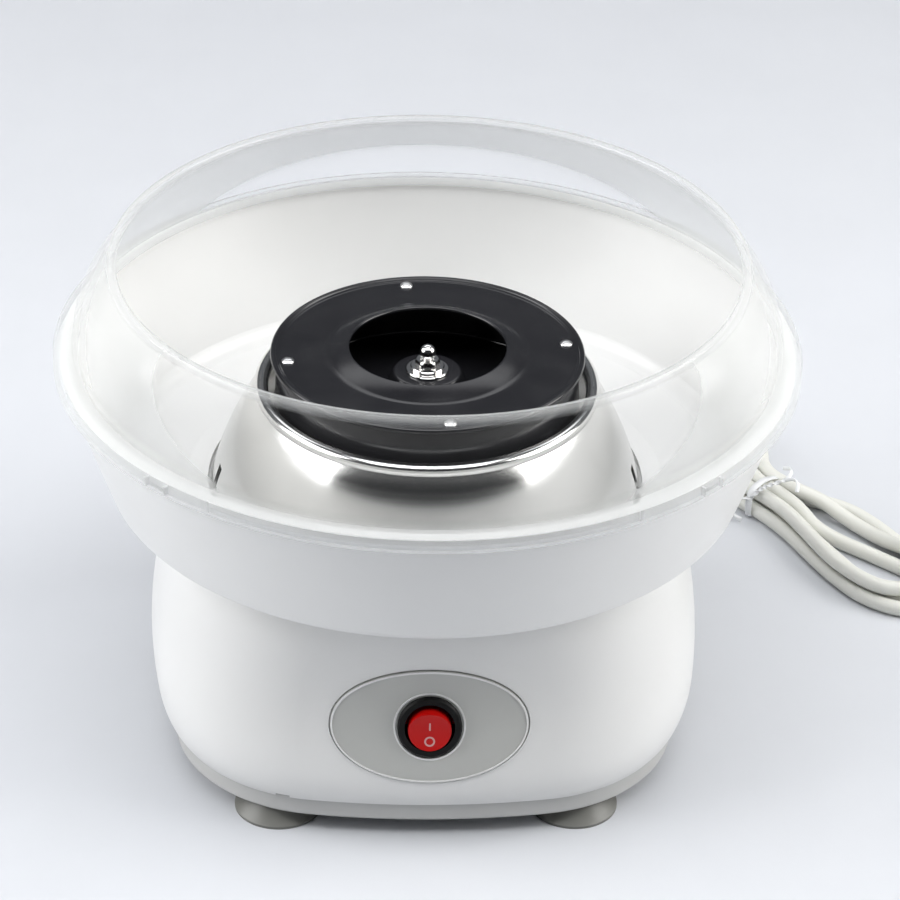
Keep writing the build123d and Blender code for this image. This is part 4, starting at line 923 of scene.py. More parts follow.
# ---------------------------------------------------------------- turned pieces
@dataclass
class SpinningHead(Assembly):
    """Spinning head: plate with its sugar mouth, pot under it, and the washers and nut that hold both."""

    plate_radius: float = 57.0
    plate_level: float = 146.4
    sheet: float = 1.2
    lip_radius: float = 28.5
    lip_rise: float = 3.1
    cone_foot: float = 37.5
    rim_step: float = 54.0
    rim_rise: float = 0.5
    pot_bottom: float = 121.5
    pot_radius: float = 55.8
    pot_top_radius: float = 54.6
    wall: float = 2.0
    hub_seat: float = 134.7
    seat_top: float = 139.1
    shaft_radius: float = 2.5
    flat_washer: Pair = (7.8, 0.9)
    spring_washer: Pair = (6.2, 1.3)
    nut_size: Pair = (4.6, 2.6)
    segments: int = 256

    def plate(self) -> Mesh:
        """Make the plate.

        Returns:
            The mesh.
        """
        top, under = self.plate_level, self.plate_level - self.sheet
        rim = self.plate_radius - self.sheet
        high = top + self.rim_rise
        profile = arc((self.lip_radius, top + self.lip_rise - self.sheet),
                      (self.lip_radius + 0.15, top + self.lip_rise - 0.2),
                      (self.lip_radius + 1.0, top + self.lip_rise), 6)
        profile += arc((self.cone_foot - 2.2, top + 0.75), (self.cone_foot - 0.8, top + 0.2),
                       (self.cone_foot + 1.0, top), 8)
        profile += [(self.cone_foot + 6.0, top)]
        profile += arc((self.rim_step - 0.8, top), (self.rim_step, top + 0.08),
                       (self.rim_step + 0.5, high - 0.1), 6)
        profile += arc((self.rim_step + 0.9, high), (self.plate_radius, top - 0.3), (rim, under), 16)
        profile += [(self.cone_foot - 0.4, under)]
        return turned_mesh("head_plate", profile, self.segments)

    def pot(self) -> Mesh:
        """Make the pot with the raised seat in its floor.

        Returns:
            The mesh.
        """
        low, inside = self.pot_bottom, self.pot_bottom + 2.5
        profile = arc((self.pot_radius - 2.0, low), (self.pot_radius - 0.6, low + 0.6),
                      (self.pot_radius, low + 2.0), 8)
        profile += [(self.pot_top_radius, self.plate_level - self.sheet),
                    (self.pot_top_radius - self.wall, self.plate_level - self.sheet),
                    (self.pot_radius - self.wall - 0.2, inside + 2.0)]
        profile += arc((self.pot_radius - self.wall - 0.2, inside + 2.0),
                       (self.pot_radius - self.wall - 0.8, inside + 0.6),
                       (self.pot_radius - self.wall - 2.2, inside), 6)[1:]
        profile += arc((20.5, inside), (19.0, inside + 0.3), (18.0, inside + 1.4), 5)
        profile += arc((12.9, self.seat_top - 1.0), (12.3, self.seat_top - 0.25), (11.5, self.seat_top), 5)
        profile += [(self.shaft_radius, self.seat_top), (self.shaft_radius, self.hub_seat),
                    (10.0, self.hub_seat), (15.5, low)]
        return turned_mesh("head_pot_shell", profile, self.segments)

    def washer(self, name: str, size: Pair, bottom: float) -> Mesh:
        """Make one washer with broken edges.

        Args:
            name: its name.
            size: its outer radius and its thickness.
            bottom: height of its underside.

        Returns:
            The mesh.
        """
        radius, sheet = size
        edge = sheet * 0.25
        top = bottom + sheet
        return turned_mesh(name, [(radius - edge, bottom), (radius, bottom + edge), (radius, top - edge),
                                  (radius - edge, top), (self.shaft_radius + 0.2, top),
                                  (self.shaft_radius + 0.2, bottom)], 96)

    def nut(self, bottom: float) -> Mesh:
        """Make the hexagon nut with its corners turned off.

        Args:
            bottom: height of its underside.

        Returns:
            The mesh.
        """
        corner, height = self.nut_size
        top = bottom + height
        return turned_mesh("head_nut", [(corner - 0.5, bottom), (corner, bottom + 0.35), (corner, top - 0.45),
                                        (corner - 0.65, top), (self.shaft_radius + 0.35, top),
                                        (self.shaft_radius, top - 0.35), (self.shaft_radius, bottom)], 96, 6)

    def build(self) -> None:
        """Make the head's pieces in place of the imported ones."""
        spring = self.seat_top + self.flat_washer[1]
        nut = spring + self.spring_washer[1]
        for name, data, node, slot in (
            ("head_plate", self.plate(), "head_top_plate", "black_enamel"),
            ("head_pot_shell", self.pot(), "head_pot", "black_enamel"),
            ("seat_washer", self.washer("seat_washer", self.flat_washer, self.seat_top), "flat_washer",
             "bright_steel"),
            ("lock_washer", self.washer("lock_washer", self.spring_washer, spring), "spring_washer",
             "bright_steel"),
            ("head_nut", self.nut(nut), "shaft_nut", "bright_steel"),
        ):
            self.fit(name, data, Body.SPINNER, slot, node)


@dataclass
class SpunSkirt(Assembly):
    """Bright spun skirt round the furnace, with its rolled top and the slots for the bowl's lugs."""

    curl_inner: float = 57.8
    curl_outer: float = 62.8
    curl_top: float = 135.6
    curl_drop: float = 2.4
    foot_radius: float = 79.0
    deck: float = 92.0
    bulge: float = 1.8
    sheet: float = 0.9
    shelf: float = 67.5
    slot_width: float = 4.6
    slot_height: float = 13.5
    slot_depth: float = 9.6
    slot_turns: Pair = (-8.0, 188.0)
    segments: int = 256

    def profile(self) -> list[Pair]:
        """List the outline of the sheet once round.

        Returns:
            Radius and height of each corner, in millimetres.
        """
        low = self.curl_top - self.curl_drop
        middle = (self.curl_inner + self.curl_outer) / 2
        neck, foot = (self.curl_outer - 0.6, low - 1.6), (self.foot_radius, self.deck + 1.4)
        run, drop = foot[0] - neck[0], neck[1] - foot[1]
        chord = math.hypot(run, drop)
        flare = (neck[0] + run / 2 + self.bulge * drop / chord, neck[1] - drop / 2 + self.bulge * run / chord)
        side, under = self.sheet * drop / chord, self.sheet * run / chord
        inner = [(x - side, y - under) for x, y in (foot, flare, neck)]
        return ([(self.curl_inner, low - 1.4)]
                + arc((self.curl_inner, low), (middle, self.curl_top), (self.curl_outer, low), 20)
                + arc(neck, flare, foot, 28)
                + [(foot[0] - 1.4, self.deck), (self.shelf, self.deck), (self.shelf, self.deck + self.sheet),
                   (foot[0] - 1.6, self.deck + self.sheet)]
                + arc(inner[0], inner[1], inner[2], 28)
                + arc((self.curl_outer - self.sheet, low), (middle, self.curl_top - self.sheet),
                      (self.curl_inner + self.sheet, low), 20)
                + [(self.curl_inner + self.sheet, low - 1.4)])

    def build(self) -> None:
        """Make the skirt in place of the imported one."""
        cutters = []
        for turn in self.slot_turns:
            place = (Matrix.Rotation(math.radians(turn), 4, "Z")
                     @ Matrix.Translation(((self.foot_radius + 1.0) * MM, 0,
                                           (self.deck - 1.0 + self.slot_height / 2) * MM)))
            cutters.append(block_mesh((self.slot_depth, self.slot_width, self.slot_height), place))
        data = carved(turned_mesh("spun_skirt", self.profile(), self.segments), cutters)
        self.fit("spun_skirt", data, Body.BASE, "polished_aluminium", "chamber_skirt")


@dataclass
class ClearGuard(Assembly):
    """Clear splash guard: domed wall, rolled rim, flange with a skirt and four snap tabs."""

    wall: float = 1.9
    seat: float = 150.06
    flange_radius: float = 135.0
    foot_radius: float = 128.0
    shoulder_radius: float = 124.0
    top_radius: float = 113.8
    height: float = 34.6
    shoulder_rise: float = 21.0
    bead_radius: float = 1.9
    skirt_height: float = 5.7
    tab_width: float = 8.2
    slit_width: float = 1.0
    slit_depth: float = 8.0
    slit_height: float = 4.2
    slit_rise: float = 1.1
    nub_reach: float = 0.85
    nub_half: float = 3.5
    nub_drop: float = 1.6
    first_tab: float = 45.0
    segments: int = 256

    def profile(self) -> list[Pair]:
        """List the outline of the wall once round.

        Returns:
            Radius and height of each corner, in millimetres.
        """
        flange_top = self.seat + self.wall
        skirt_bottom = flange_top - self.skirt_height
        inner_skirt = self.flange_radius - self.wall
        foot = (self.foot_radius, flange_top + 2.0)
        shoulder = (self.shoulder_radius, self.seat + self.shoulder_rise)
        top = (self.top_radius + 0.5, self.seat + self.height - 0.7)
        outer = arc(foot, shoulder, top, 40)
        inner = []
        for before, here, after in zip(outer[:1] + outer[:-1], outer, outer[1:] + outer[-1:]):
            way_x, way_y = after[0] - before[0], after[1] - before[1]
            length = math.hypot(way_x, way_y)
            inner.append((here[0] - way_y / length * self.wall, here[1] + way_x / length * self.wall))
        centre = (self.top_radius - 0.3, self.seat + self.height)
        bead = [(centre[0] + self.bead_radius * math.cos(math.radians(angle)),
                 centre[1] + self.bead_radius * math.sin(math.radians(angle))) for angle in range(-20, 231, 10)]
        lead_in = arc((self.foot_radius + 1.6, flange_top), (self.foot_radius + 0.45, flange_top + 0.6),
                      foot, 8)
        corner = arc((self.flange_radius, flange_top - 1.2), (self.flange_radius - 0.35, flange_top - 0.35),
                     (self.flange_radius - 1.2, flange_top), 6)
        return ([(self.flange_radius, skirt_bottom)] + corner + lead_in + outer[1:-1] + bead
                + inner[-2::-1] + [(inner[0][0], self.seat), (inner_skirt, self.seat),
                                   (inner_skirt, skirt_bottom)])

    def slits(self) -> list[Mesh]:
        """Make the blocks that cut the slits beside the four tabs.

        Returns:
            The blocks.
        """
        blocks = []
        bottom = self.seat + self.wall - self.skirt_height
        for quarter in range(4):
            for side in (-1, 1):
                offset = side * (self.tab_width + self.slit_width) / 2
                spot = Vector((self.flange_radius, offset, bottom + self.slit_rise)) * MM
                place = (Matrix.Rotation(math.radians(self.first_tab + 90.0 * quarter), 4, "Z")
                         @ Matrix.Translation(spot))
                blocks.append(block_mesh((self.slit_depth, self.slit_width, self.slit_height), place))
        return blocks

    def nub(self) -> Mesh:
        """Make one snap nub, its outer face on the skirt's inside at the origin.

        Returns:
            The mesh.
        """
        half, reach = self.nub_half * MM, self.nub_reach * MM
        steps = ((0.0, 0.6), (reach, 1.6), (reach, 2.2), (0.0, 3.0))
        sections = []
        for share in (-1.0, -0.86, 0.86, 1.0):
            depth = 1.0 if abs(share) < 0.95 else 0.35
            sections.append([(-x * depth, half * share, z * MM) for x, z in steps])
        return lofted_mesh("snap_nub", sections)

    def build(self) -> None:
        """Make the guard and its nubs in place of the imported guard."""
        shell = carved(turned_mesh("clear_guard", self.profile(), self.segments), self.slits())
        self.fit("clear_guard", shell, Body.GUARD, "clear_plastic", "splash_guard")
        skirt_bottom = self.seat + self.wall - self.skirt_height
        nubs = RingRepeat().four(self.nub(), self.materials["clear_plastic"],
                                 self.flange_radius - self.wall + 0.05, self.first_tab,
                                 (skirt_bottom - self.nub_drop) * MM)
        self.fit("guard_nubs", nubs, Body.GUARD, "clear_plastic")


# ---------------------------------------------------------------- switch trim
def draped_mesh(name: str, face: str, centre: Vector, lean: float, bands: list[tuple[list[Pair], list[Pair]]],
                proud: float, deep: float) -> Mesh:
    """Lay flat bands on a front face and give them a thickness.

    Args:
        name: the mesh's name.
        face: node whose face carries them.
        centre: a point on the face, in metres.
        lean: how far the face leans back, in degrees.
        bands: outer and inner edge of each band, across and up from the centre, in millimetres.
        proud: how far they stand out of the face, in millimetres.
        deep: how far they sink into it, in millimetres.

    Returns:
        The mesh.
    """
    data = bpy.data.objects[face].data
    tree = BVHTree.FromPolygons([vert.co.copy() for vert in data.vertices],
                                [tuple(polygon.vertices) for polygon in data.polygons])
    tip = math.radians(lean)
    normal, up = Vector((0.0, -math.cos(tip), math.sin(tip))), Vector((0.0, math.sin(tip), math.cos(tip)))

    def on_face(spot: Pair, above: float) -> Point:
        """Find the point at a spot of the face and this far above it."""
        start = centre + normal * 0.03 + Vector((spot[0] * MM, 0, 0)) + up * (spot[1] * MM)
        return tuple(tree.ray_cast(start, -normal)[0] + normal * (above * MM))

    verts: list[Point] = []
    faces: list[list[int]] = []
    for outer, inner in bands:
        first, count = len(verts), len(outer)
        for edge, above in ((outer, -deep), (outer, proud), (inner, proud), (inner, -deep)):
            verts += [on_face(spot, above) for spot in edge]
        faces += quads(first, count, 4, 4)
    return faced_mesh(name, verts, faces)


@dataclass
class SwitchTrim(Assembly):
    """Line and ring printed on the rocker, and the pale lips round the switch and the panel: thin raised rims
    whose white is a painted highlight along those edges.
    """

    rocker_centre: float = 46.7
    rocker_lean: float = 2.0
    panel_centre: Vector = field(default_factory=lambda: Vector((0.0, -0.093015, 0.0473)))
    panel_lean: float = 10.0
    panel_half: Pair = (35.25, 21.5)
    bezel_radius: float = 11.5
    lip_width: float = 0.65
    lip_rise: float = 0.3
    lip_sink: float = 0.3
    lip_gap: float = 0.7
    lip_inset: float = 0.15
    line_rise: float = 1.9
    line_length: float = 3.3
    line_width: float = 0.55
    ring_drop: float = 4.1
    ring_radii: Pair = (1.9, 1.3)
    print_colour: Colour = (0.62, 0.36, 0.34)
    print_rise: float = 0.04
    print_sink: float = 0.15
    steps: int = 96

    def oval(self, wide: float, tall: float, rise: float = 0.0) -> list[Pair]:
        """List the points of an upright oval by half its width, half its height and its centre's height."""
        turns = [2 * math.pi * n / self.steps for n in range(self.steps)]
        return [(wide * math.cos(turn), rise + tall * math.sin(turn)) for turn in turns]

    def stroke(self, width: float) -> list[Pair]:
        """List the edge of the printed line at a width."""
        straight = (self.line_length - self.line_width) / 2
        return [(x, self.line_rise + y + math.copysign(straight, y + 1e-9))
                for x, y in self.oval(width / 2, width / 2)]

    def build(self) -> None:
        """Make the marks and the lips."""
        outer, inner = self.ring_radii
        marks = [(self.stroke(self.line_width), self.stroke(self.line_width * 0.05)),
                 (self.oval(outer, outer, -self.ring_drop), self.oval(inner, inner, -self.ring_drop))]
        face = Vector((0.0, self.panel_centre.y, self.rocker_centre * MM))
        printed = draped_mesh("switch_marks", "rocker", face, self.rocker_lean, marks, self.print_rise,
                              self.print_sink)
        printed.materials.append(Moulded(self.print_colour, 0.45).build("mark_print"))
        self.fit("switch_marks", printed, Body.ROCKER, "white_plastic")
        # the lips are thin raised rims in white plastic; their pale colour is a painted highlight along the
        # edge of the switch seat and of the panel
        start = self.bezel_radius + self.lip_gap
        end = start + self.lip_width
        wide, tall = (half - self.lip_inset for half in self.panel_half)
        lips = [(self.oval(end, end), self.oval(start, start)),
                (self.oval(wide, tall), self.oval(wide - self.lip_width, tall - self.lip_width))]
        raised = draped_mesh("panel_lips", "control_panel", self.panel_centre, self.panel_lean, lips,
                             self.lip_rise, self.lip_sink)
        self.fit("panel_lips", raised, Body.BASE, "white_plastic")


# ---------------------------------------------------------------- mains lead
@dataclass
class MainsLead(Assembly):
    """White mains lead: out of the base, folded into a tied bundle, then to its plug."""

    radius: float = 0.003
    tie: Vector = field(default_factory=lambda: Vector((0.144, 0.129, 0.0)))
    open_angle: float = -42.0
    rear_angle: float = 120.0
    plug_turn: Point = (140.0, -14.0, 3.0)
    plug_bend: Point = (-36.2, 16.9, 6.8)
    plug_run: Pair = (-38.0, 3.0)

    def spot(self, angle: float, along: float, across: float, height: float) -> Point:
        """Place a point of the bundle.

        Args:
            angle: direction of the bundle's half, in degrees.
            along: distance from the tie, in millimetres.
            across: distance to the left of that direction, in millimetres.
            height: height above the table, in millimetres.

        Returns:
            The point in metres.
        """
        turn = math.radians(angle)
        x = self.tie.x + (along * math.cos(turn) - across * math.sin(turn)) * MM
        y = self.tie.y + (along * math.sin(turn) + across * math.cos(turn)) * MM
        return (x, y, height * MM)

    def route(self) -> list[Point]:
        """List the lead's points from the gland to the plug.

        Returns:
            Points in metres, in order.
        """
        run_in = [(0.0, 115.8, 33.5), (0.0, 151.2, 39.7), (-3.0, 187.0, 3.0), (0.0, 223.0, 3.0),
                  (27.7, 246.0, 3.0), (63.9, 239.8, 3.0)]
        # along, across and height of each stretch, out to the open end and back
        open_turns = (
            ((8, -8, 3), (22, -12.5, 3), (40, -21, 3), (56, -27.5, 3), (73, -32, 3), (91, -28.5, 3),
             (98, -13, 3), (90.5, 1, 3), (75, 5.5, 3), (60, 11, 3), (44, 16.5, 3), (28, 19, 3), (12, 14, 3)),
            ((8, -1.5, 3), (20, -5.5, 3.5), (36, -12.6, 4.6), (50, -18.8, 5.3), (61.5, -22.9, 5),
             (72.5, -25, 4.2), (81, -24.5, 3.2), (87, -18.5, 3), (87, -10, 3), (81, -4, 3), (72.5, -3.6, 3),
             (56, -3.6, 3), (40, -4, 3), (28, -3, 4), (18, 0.5, 7), (8, 1.5, 9.2)),
            ((8, -5, 9.2), (20, -9, 9.2), (36, -17, 9.2), (52, -25, 9.2), (68, -29, 9.2), (80.2, -28.6, 9.2),
             (89, -19.8, 9.2), (89, -7.4, 9.2), (80.2, 1.4, 9), (69, 3.5, 8), (57, 6, 5.2), (45, 9.3, 3.5),
             (33, 11, 4.2), (21, 11.5, 7.4), (10, 8.5, 9.2)),
        )
        rear_turns = (
            ((104, 14, 3), (84, 22, 3), (64, 26.5, 3), (40, 20, 3), (18, 9, 3)),
            ((10, -9, 3), (26, -14, 3), (46, -20, 3), (66, -22, 3), (84, -16.5, 3), (91, -1, 3), (84, 14, 3),
             (66, 19.5, 3), (44, 12, 3), (26, 4.5, 3), (10, 1.5, 3)),
            ((8, -1.5, 9.2), (26, -7, 9.2), (44, -15, 9.2), (62, -21.5, 9.2), (80, -16.5, 9.2), (87, -1, 9.2),
             (80, 14.5, 9.2), (62, 20.5, 9.2), (44, 16, 9.2), (26, 9.5, 9.2), (8, 5, 9.2)),
            ((12, -8, 9.2), (28, -19, 9), (46, -27.5, 6), (66, -30, 3), (88, -26, 3), (114, -17.5, 3)),
        )
        points = [(x * MM, y * MM, z * MM) for x, y, z in run_in]
        for rear, ahead in zip(rear_turns, open_turns):
            points += [self.spot(self.rear_angle, *step) for step in rear]
            points += [self.spot(self.open_angle, *step) for step in ahead]
        points += [self.spot(self.rear_angle, *step) for step in rear_turns[-1]]
        turn = self.spot(self.rear_angle, *self.plug_turn)
        level = self.plug_bend[2] * MM
        bend = (turn[0] + self.plug_bend[0] * MM, turn[1] + self.plug_bend[1] * MM, level)
        end = (bend[0] + self.plug_run[0] * MM, bend[1] + self.plug_run[1] * MM, level)
        return points + [turn, bend, end]

    def build(self) -> Piece:
        """Make the lead as one smooth round cord.

        Returns:
            The curve object.
        """
        curve = nurbs("mains_lead", self.route(), 8)
        curve.bevel_depth = self.radius
        curve.bevel_resolution = 4
        curve.use_fill_caps = True
        return self.fit("mains_lead", curve, Body.BASE, "white_cord", "power_cord", "cord_hank", "plug_lead")


@dataclass
class WireTie(Assembly):
    """Plastic-coated wire tie wound round the bundle, its two ends twisted together and curled."""

    width: float = 3.0
    thick: float = 0.55
    core: float = 0.45
    soft_edge: float = 70.0
    band_steps: int = 60
    end_steps: int = 48

    def ribbon(self, path: list[Vector], start: Vector, twist: float, width: float) -> list[list[Point]]:
        """Sweep the tie's flat section along a path.

        Args:
            path: points of the path, in metres.
            start: direction of the flat side at the start.
            twist: turns about the path from end to end.
            width: width of the strip, in millimetres.

        Returns:
            Sections along the path, in metres.
        """
        half, flat = width / 2 * MM, self.thick / 2 * MM
        above = [(half, 0.0), (half * 0.9, flat * 0.8), (half * 0.35, flat), (0.0, self.core * MM),
                 (-half * 0.35, flat), (-half * 0.9, flat * 0.8)]
        outline = above + [(-x, -y) for x, y in above]
        side = start.copy()
        sections = []
        for number, here in enumerate(path):
            ahead = path[min(number + 1, len(path) - 1)] - path[max(number - 1, 0)]
            ahead.normalize()
            side = (side - ahead * side.dot(ahead)).normalized()
            turn = Matrix.Rotation(2 * math.pi * twist * number / (len(path) - 1), 3, ahead)
            wide, tall = turn @ side, turn @ ahead.cross(side)
            sections.append([tuple(here + wide * x + tall * y) for x, y in outline])
        return sections

    def smooth_path(self, corners: list[Point], count: int) -> list[Vector]:
        """Round off a few corner points into a smooth path.

        Args:
            corners: the corner points, in metres.
            count: number of points wanted.

        Returns:
            The path.
        """
        steps = max(2, count // (len(corners) - 2))
        data = baked(piece("tie_path", nurbs("tie_path", corners, steps)))
        path = [vert.co.copy() for vert in data.vertices]
        bpy.data.meshes.remove(data)
        return path

    def build(self, lead: MainsLead) -> Piece:
        """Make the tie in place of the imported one.

        Args:
            lead: the lead it holds.

        Returns:
            The tie.
        """
        along = Vector(lead.spot(lead.open_angle, 1, 0, 0)) - lead.tie
        along.normalize()
        # across and height of the band's corners, once round the bundle
        band = ((-10.6, 6.0), (-10.4, 11.0), (-7.0, 13.6), (0.0, 14.0), (8.0, 11.6), (13.0, 8.0),
                (15.5, 4.0), (14.0, 0.8), (8.0, 0.5), (-6.0, 0.5), (-10.6, 1.0), (-11.4, 5.0), (-10.8, 9.0))
        loop = self.smooth_path([lead.spot(lead.open_angle, 0.6 * n / len(band), across, height)
                                 for n, (across, height) in enumerate(band)], self.band_steps)
        # along, across and height of the twisted ends
        stem = ((0.5, -10.4, 9.5), (3.0, -8.0, 14.0), (6.0, -4.0, 15.5), (10.0, 0.0, 17.5))
        left_end = ((10.0, 0.0, 17.5), (12.0, 1.0, 18.5), (15.0, 1.0, 19.2), (17.5, -1.0, 18.6),
                    (18.5, -3.5, 17.0))
        right_end = ((10.0, 0.0, 17.5), (10.5, 3.0, 18.4), (9.0, 6.5, 18.8), (6.0, 8.5, 18.0), (3.5, 8.0, 17.0))
        hook = ((0.5, -10.4, 9.5), (-3.0, -13.0, 10.0), (-5.0, -16.0, 7.0), (-3.0, -17.0, 3.0),
                (0.0, -15.0, 1.5))
        parts = [self.ribbon(loop, along, 0.0, self.width)]
        for corners, twist, width in ((stem, 3.0, 2.0), (left_end, 0.4, 1.6), (right_end, 0.3, 1.6),
                                      (hook, 0.25, 1.8)):
            path = self.smooth_path([lead.spot(lead.open_angle, *corner) for corner in corners], self.end_steps)
            parts.append(self.ribbon(path, along, twist, width))
        data = joined("wire_tie", [lofted_mesh("tie_part", sections) for sections in parts])
        data.shade_smooth()
        data.set_sharp_from_angle(angle=math.radians(self.soft_edge))
        return self.fit("wire_tie", data, Body.BASE, "clear_tie", "twist_tie")


@dataclass
class Plug(Assembly):
    """Flat two-pin mains plug with a ribbed neck, finger grips and sleeved pins."""

    start: Vector
    end: Vector
    segments: int = 48
    ribs: int = 5
    rib_pitch: float = 2.3
    grips: int = 5
    grip_pitch: float = 2.4
    grip_depth: float = 0.45
    pin_offset: float = 9.3

    def bearings(self) -> tuple[Vector, Vector]:
        """Find the directions out along the pins and across them."""
        way = (self.end - self.start).normalized()
        return way, way.cross(Vector((0, 0, 1))).normalized()

    def section(self, along: float, half_wide: float, half_tall: float, power: float) -> list[Point]:
        """Make one rounded section of the body.

        Args:
            along: distance from the lead's end, in millimetres.
            half_wide: half its width.
            half_tall: half its height.
            power: squareness, 2 for an ellipse.

        Returns:
            Points in metres.
        """
        way, side = self.bearings()
        centre = self.end + way * (along * MM)
        points = []
        for n in range(self.segments):
            turn = 2 * math.pi * n / self.segments
            x = math.copysign(abs(math.cos(turn)) ** (2 / power), math.cos(turn)) * half_wide
            y = math.copysign(abs(math.sin(turn)) ** (2 / power), math.sin(turn)) * half_tall
            points.append(tuple(centre + side * (x * MM) + Vector((0, 0, y * MM))))
        return points

    def body(self) -> Mesh:
        """Make the moulded body.

        Returns:
            The mesh.
        """
        # distance from the lead's end, half width, half height and squareness of each section
        rows: list[tuple[float, float, float, float]] = [(0.0, 3.6, 3.6, 2.0)]
        for rib in range(self.ribs):
            start = 0.6 + self.rib_pitch * rib
            thick = 4.1 + 0.22 * rib
            rows += [(start, thick, thick, 2.0), (start + 1.1, thick, thick, 2.0),
                     (start + 1.3, thick - 0.7, thick - 0.7, 2.0), (start + 2.1, thick - 0.7, thick - 0.7, 2.0)]
        rows += [(12.6, 5.6, 5.2, 2.2), (15.0, 7.0, 5.5, 2.5), (18.5, 10.5, 5.9, 3.0), (22.0, 13.4, 6.3, 3.4)]
        for grip in range(self.grips):
            start = 23.2 + self.grip_pitch * grip
            wide = 14.2 + 0.62 * grip
            hollow = (wide - self.grip_depth, 6.5 - self.grip_depth, 3.8)
            rows += [(start, wide, 6.5, 3.8), (start + 0.5, *hollow), (start + 1.2, *hollow),
                     (start + 1.7, wide + 0.2, 6.6, 3.8)]
        rows += [(36.0, 17.2, 6.7, 4.0), (40.9, 17.4, 6.7, 4.2), (41.7, 17.1, 6.4, 4.2), (42.0, 16.5, 5.8, 4.2)]
        return lofted_mesh("plug_shell", [self.section(*row) for row in rows])

    def pin(self, side_step: float) -> Mesh:
        """Make one sleeved pin.

        Args:
            side_step: its distance from the middle, in millimetres.

        Returns:
            The mesh.
        """
        way, side = self.bearings()
        profile = [(0.0, 35.0), (1.98, 35.0), (1.98, 52.0), (1.9, 52.2), (1.9, 59.4)]
        profile += arc((1.9, 59.4), (1.4, 60.5), (0.0, 60.95), 6)[1:]
        data = turned_mesh("pin", profile, 24)
        turn = Vector((0, 0, 1)).rotation_difference(way).to_matrix().to_4x4()
        data.transform(Matrix.Translation(self.end + side * (side_step * MM)) @ turn)
        return data

    def build(self) -> list[Piece]:
        """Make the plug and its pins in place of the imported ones."""
        pins = settle(joined("mains_pins", [self.pin(step) for step in (-self.pin_offset, self.pin_offset)]))
        return [self.fit("plug_shell", self.body(), Body.BASE, "white_cord", "plug_body"),
                self.fit("mains_pins", pins, Body.BASE, "brass", "plug_pins")]


# ---------------------------------------------------------------- studio
@dataclass(frozen=True)
class SoftBox:
    """Rectangular soft light with its place, aim, size, power and colour."""

    name: str
    place: Point
    aim: Point
    size: Pair
    power: float
    colour: Colour = (1.0, 1.0, 1.0)

    def hang(self) -> None:
        """Put the light in the scene."""
        data = bpy.data.lights.new(self.name, "AREA")
        data.shape = "RECTANGLE"
        data.size, data.size_y = self.size
        data.energy = self.power
        data.color = self.colour
        light = piece(self.name, data)
        way = Vector(self.aim) - Vector(self.place)
        turn = way.to_track_quat("-Z", "Y").to_matrix().to_4x4()
        light.matrix_world = Matrix.Translation(Vector(self.place)) @ turn


@dataclass
class Studio:
    """Pale floor, a soft box each side, one overhead, one for the floor behind, and a dim room."""

    floor_radius: float = 4.0
    floor_sides: int = 64
    floor_colour: Colour = (0.60, 0.615, 0.645)
    room_colour: Colour = (0.86, 0.91, 1.0)
    room_front: float = 0.02
    room_back: float = 0.12
    room_span: Pair = (-0.5, 0.8)
    boxes: tuple[SoftBox, ...] = (
        SoftBox("left_box", (-1.25, -0.12, 0.82), (0.0, 0.0, 0.1), (1.1, 0.9), 19.0),
        SoftBox("right_box", (1.25, -0.12, 0.82), (0.0, 0.0, 0.1), (1.1, 0.9), 19.0, (1.0, 0.99, 0.97)),
        SoftBox("top_box", (0.0, -0.4, 1.65), (0.0, 0.0, 0.1), (1.6, 1.0), 20.0, (0.97, 0.98, 1.0)),
        SoftBox("far_box", (0.0, 1.7, 2.2), (0.0, 1.7, 0.0), (3.0, 1.2), 22.0, (0.97, 0.98, 1.0)),
    )

    def floor(self) -> None:
        """Lay the floor."""
        count = self.floor_sides
        ring = [(self.floor_radius * math.cos(2 * math.pi * n / count),
                 self.floor_radius * math.sin(2 * math.pi * n / count), 0.0) for n in range(count)]
        data = bpy.data.meshes.new("floor")
        data.from_pydata(ring, [], [list(range(count))])
        data.materials.append(Moulded(self.floor_colour, 0.6, mottle=0.02, depth=0.0).build("pale_floor"))
        piece("floor", data)

    def room(self) -> bpy.types.World:
        """Make the room's glow, dim in front of the machine and brighter behind it.

        Returns:
            The world.
        """
        world = bpy.data.worlds.new("room")
        world.use_nodes = True
        graph = Graph(world.node_tree)
        split = graph.node("ShaderNodeSeparateXYZ", i0=graph.node("ShaderNodeTexCoord").outputs["Generated"])
        depth = graph.node("ShaderNodeMapRange", Value=split.outputs["Y"], From_Min=self.room_span[0],
                           From_Max=self.room_span[1], To_Min=self.room_front, To_Max=self.room_back)
        graph.feed(graph.tree.nodes["Background"], Color=(*self.room_colour, 1.0),
                   Strength=depth.outputs["Result"])
        return world

    def build(self) -> None:
        """Make the floor, the lights and the room."""
        self.floor()
        for box in self.boxes:
            box.hang()
        bpy.context.scene.world = self.room()
        bpy.context.scene.view_settings.view_transform = "Standard"


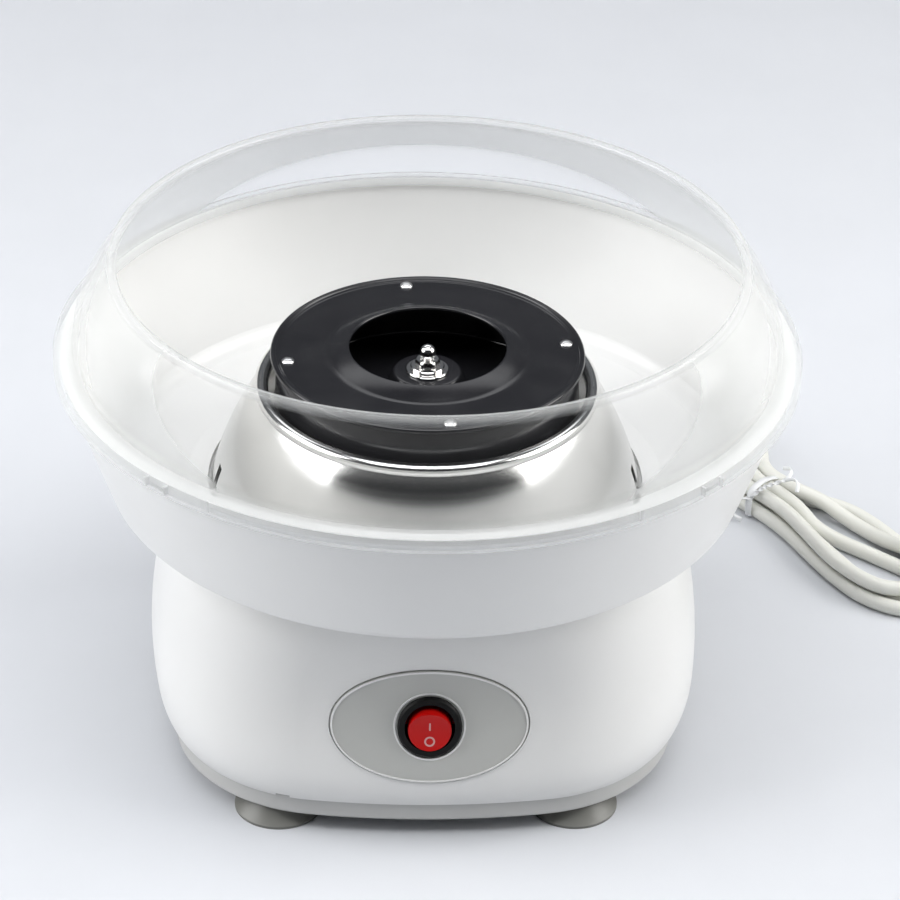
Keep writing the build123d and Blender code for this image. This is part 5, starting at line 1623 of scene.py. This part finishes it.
@dataclass
class Camera:
    """Long-lens camera that looks down at the machine from the front."""

    elevation: float = 29.3
    azimuth: float = -2.06
    roll: float = 1.15
    distance: float = 1.351
    focal_mm: float = 149.6
    aim: Vector = field(default_factory=lambda: Vector((0.0, 0.0, 0.152)))
    shift_x: float = 0.0244444444
    shift_y: float = -0.1233333333
    sensor_mm: float = 36.0
    far_limit: float = 50.0

    def build(self) -> Piece:
        """Make the camera and set it as the scene's own.

        Returns:
            The camera object.
        """
        data = bpy.data.cameras.new("camera")
        data.lens = self.focal_mm
        data.sensor_width = self.sensor_mm
        data.shift_x = self.shift_x
        data.shift_y = self.shift_y
        data.clip_end = self.far_limit
        camera = piece("camera", data)
        rise, turn = math.radians(self.elevation), math.radians(self.azimuth)
        away = Vector((math.sin(turn) * math.cos(rise), -math.cos(turn) * math.cos(rise), math.sin(rise)))
        look = (-away).to_track_quat("-Z", "Y").to_matrix().to_4x4()
        roll = Matrix.Rotation(math.radians(self.roll), 4, "Z")
        camera.matrix_world = Matrix.Translation(self.aim + away * self.distance) @ look @ roll
        bpy.context.scene.camera = camera
        return camera


def dress_nodes(frame: dict) -> Materials:
    """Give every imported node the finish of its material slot.


    Returns:
        The material of each slot.
    """
    made: Materials = {}
    for part in frame["record"]["subparts"]:
        slot = part["material_slot"]
        if slot not in made:
            made[slot] = Finish[slot.upper()].value.build(slot)
        data = bpy.data.objects[part["node"]].data
        data.materials.clear()
        data.materials.append(made[slot])
        LOG.info("%s: %s", part["node"], slot)
    return made


def main() -> None:
    """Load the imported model, dress it, build the detailed pieces and place the camera."""
    logging.basicConfig(level=logging.INFO, format="%(message)s")
    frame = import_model()
    Camera().build()
    materials = dress_nodes(frame)
    cord = MainsLead(materials)
    lead = cord.build()
    route = [Vector(point) for point in cord.route()]
    tie = WireTie(materials).build(cord)
    plug = Plug(materials, route[-2], route[-1]).build()
    Studio().build()
    for assembly in (SpunSkirt, SpinningHead, Fasteners, ClearGuard, SwitchTrim):
        assembly(materials).build()


if __name__ == "__main__":
    main()
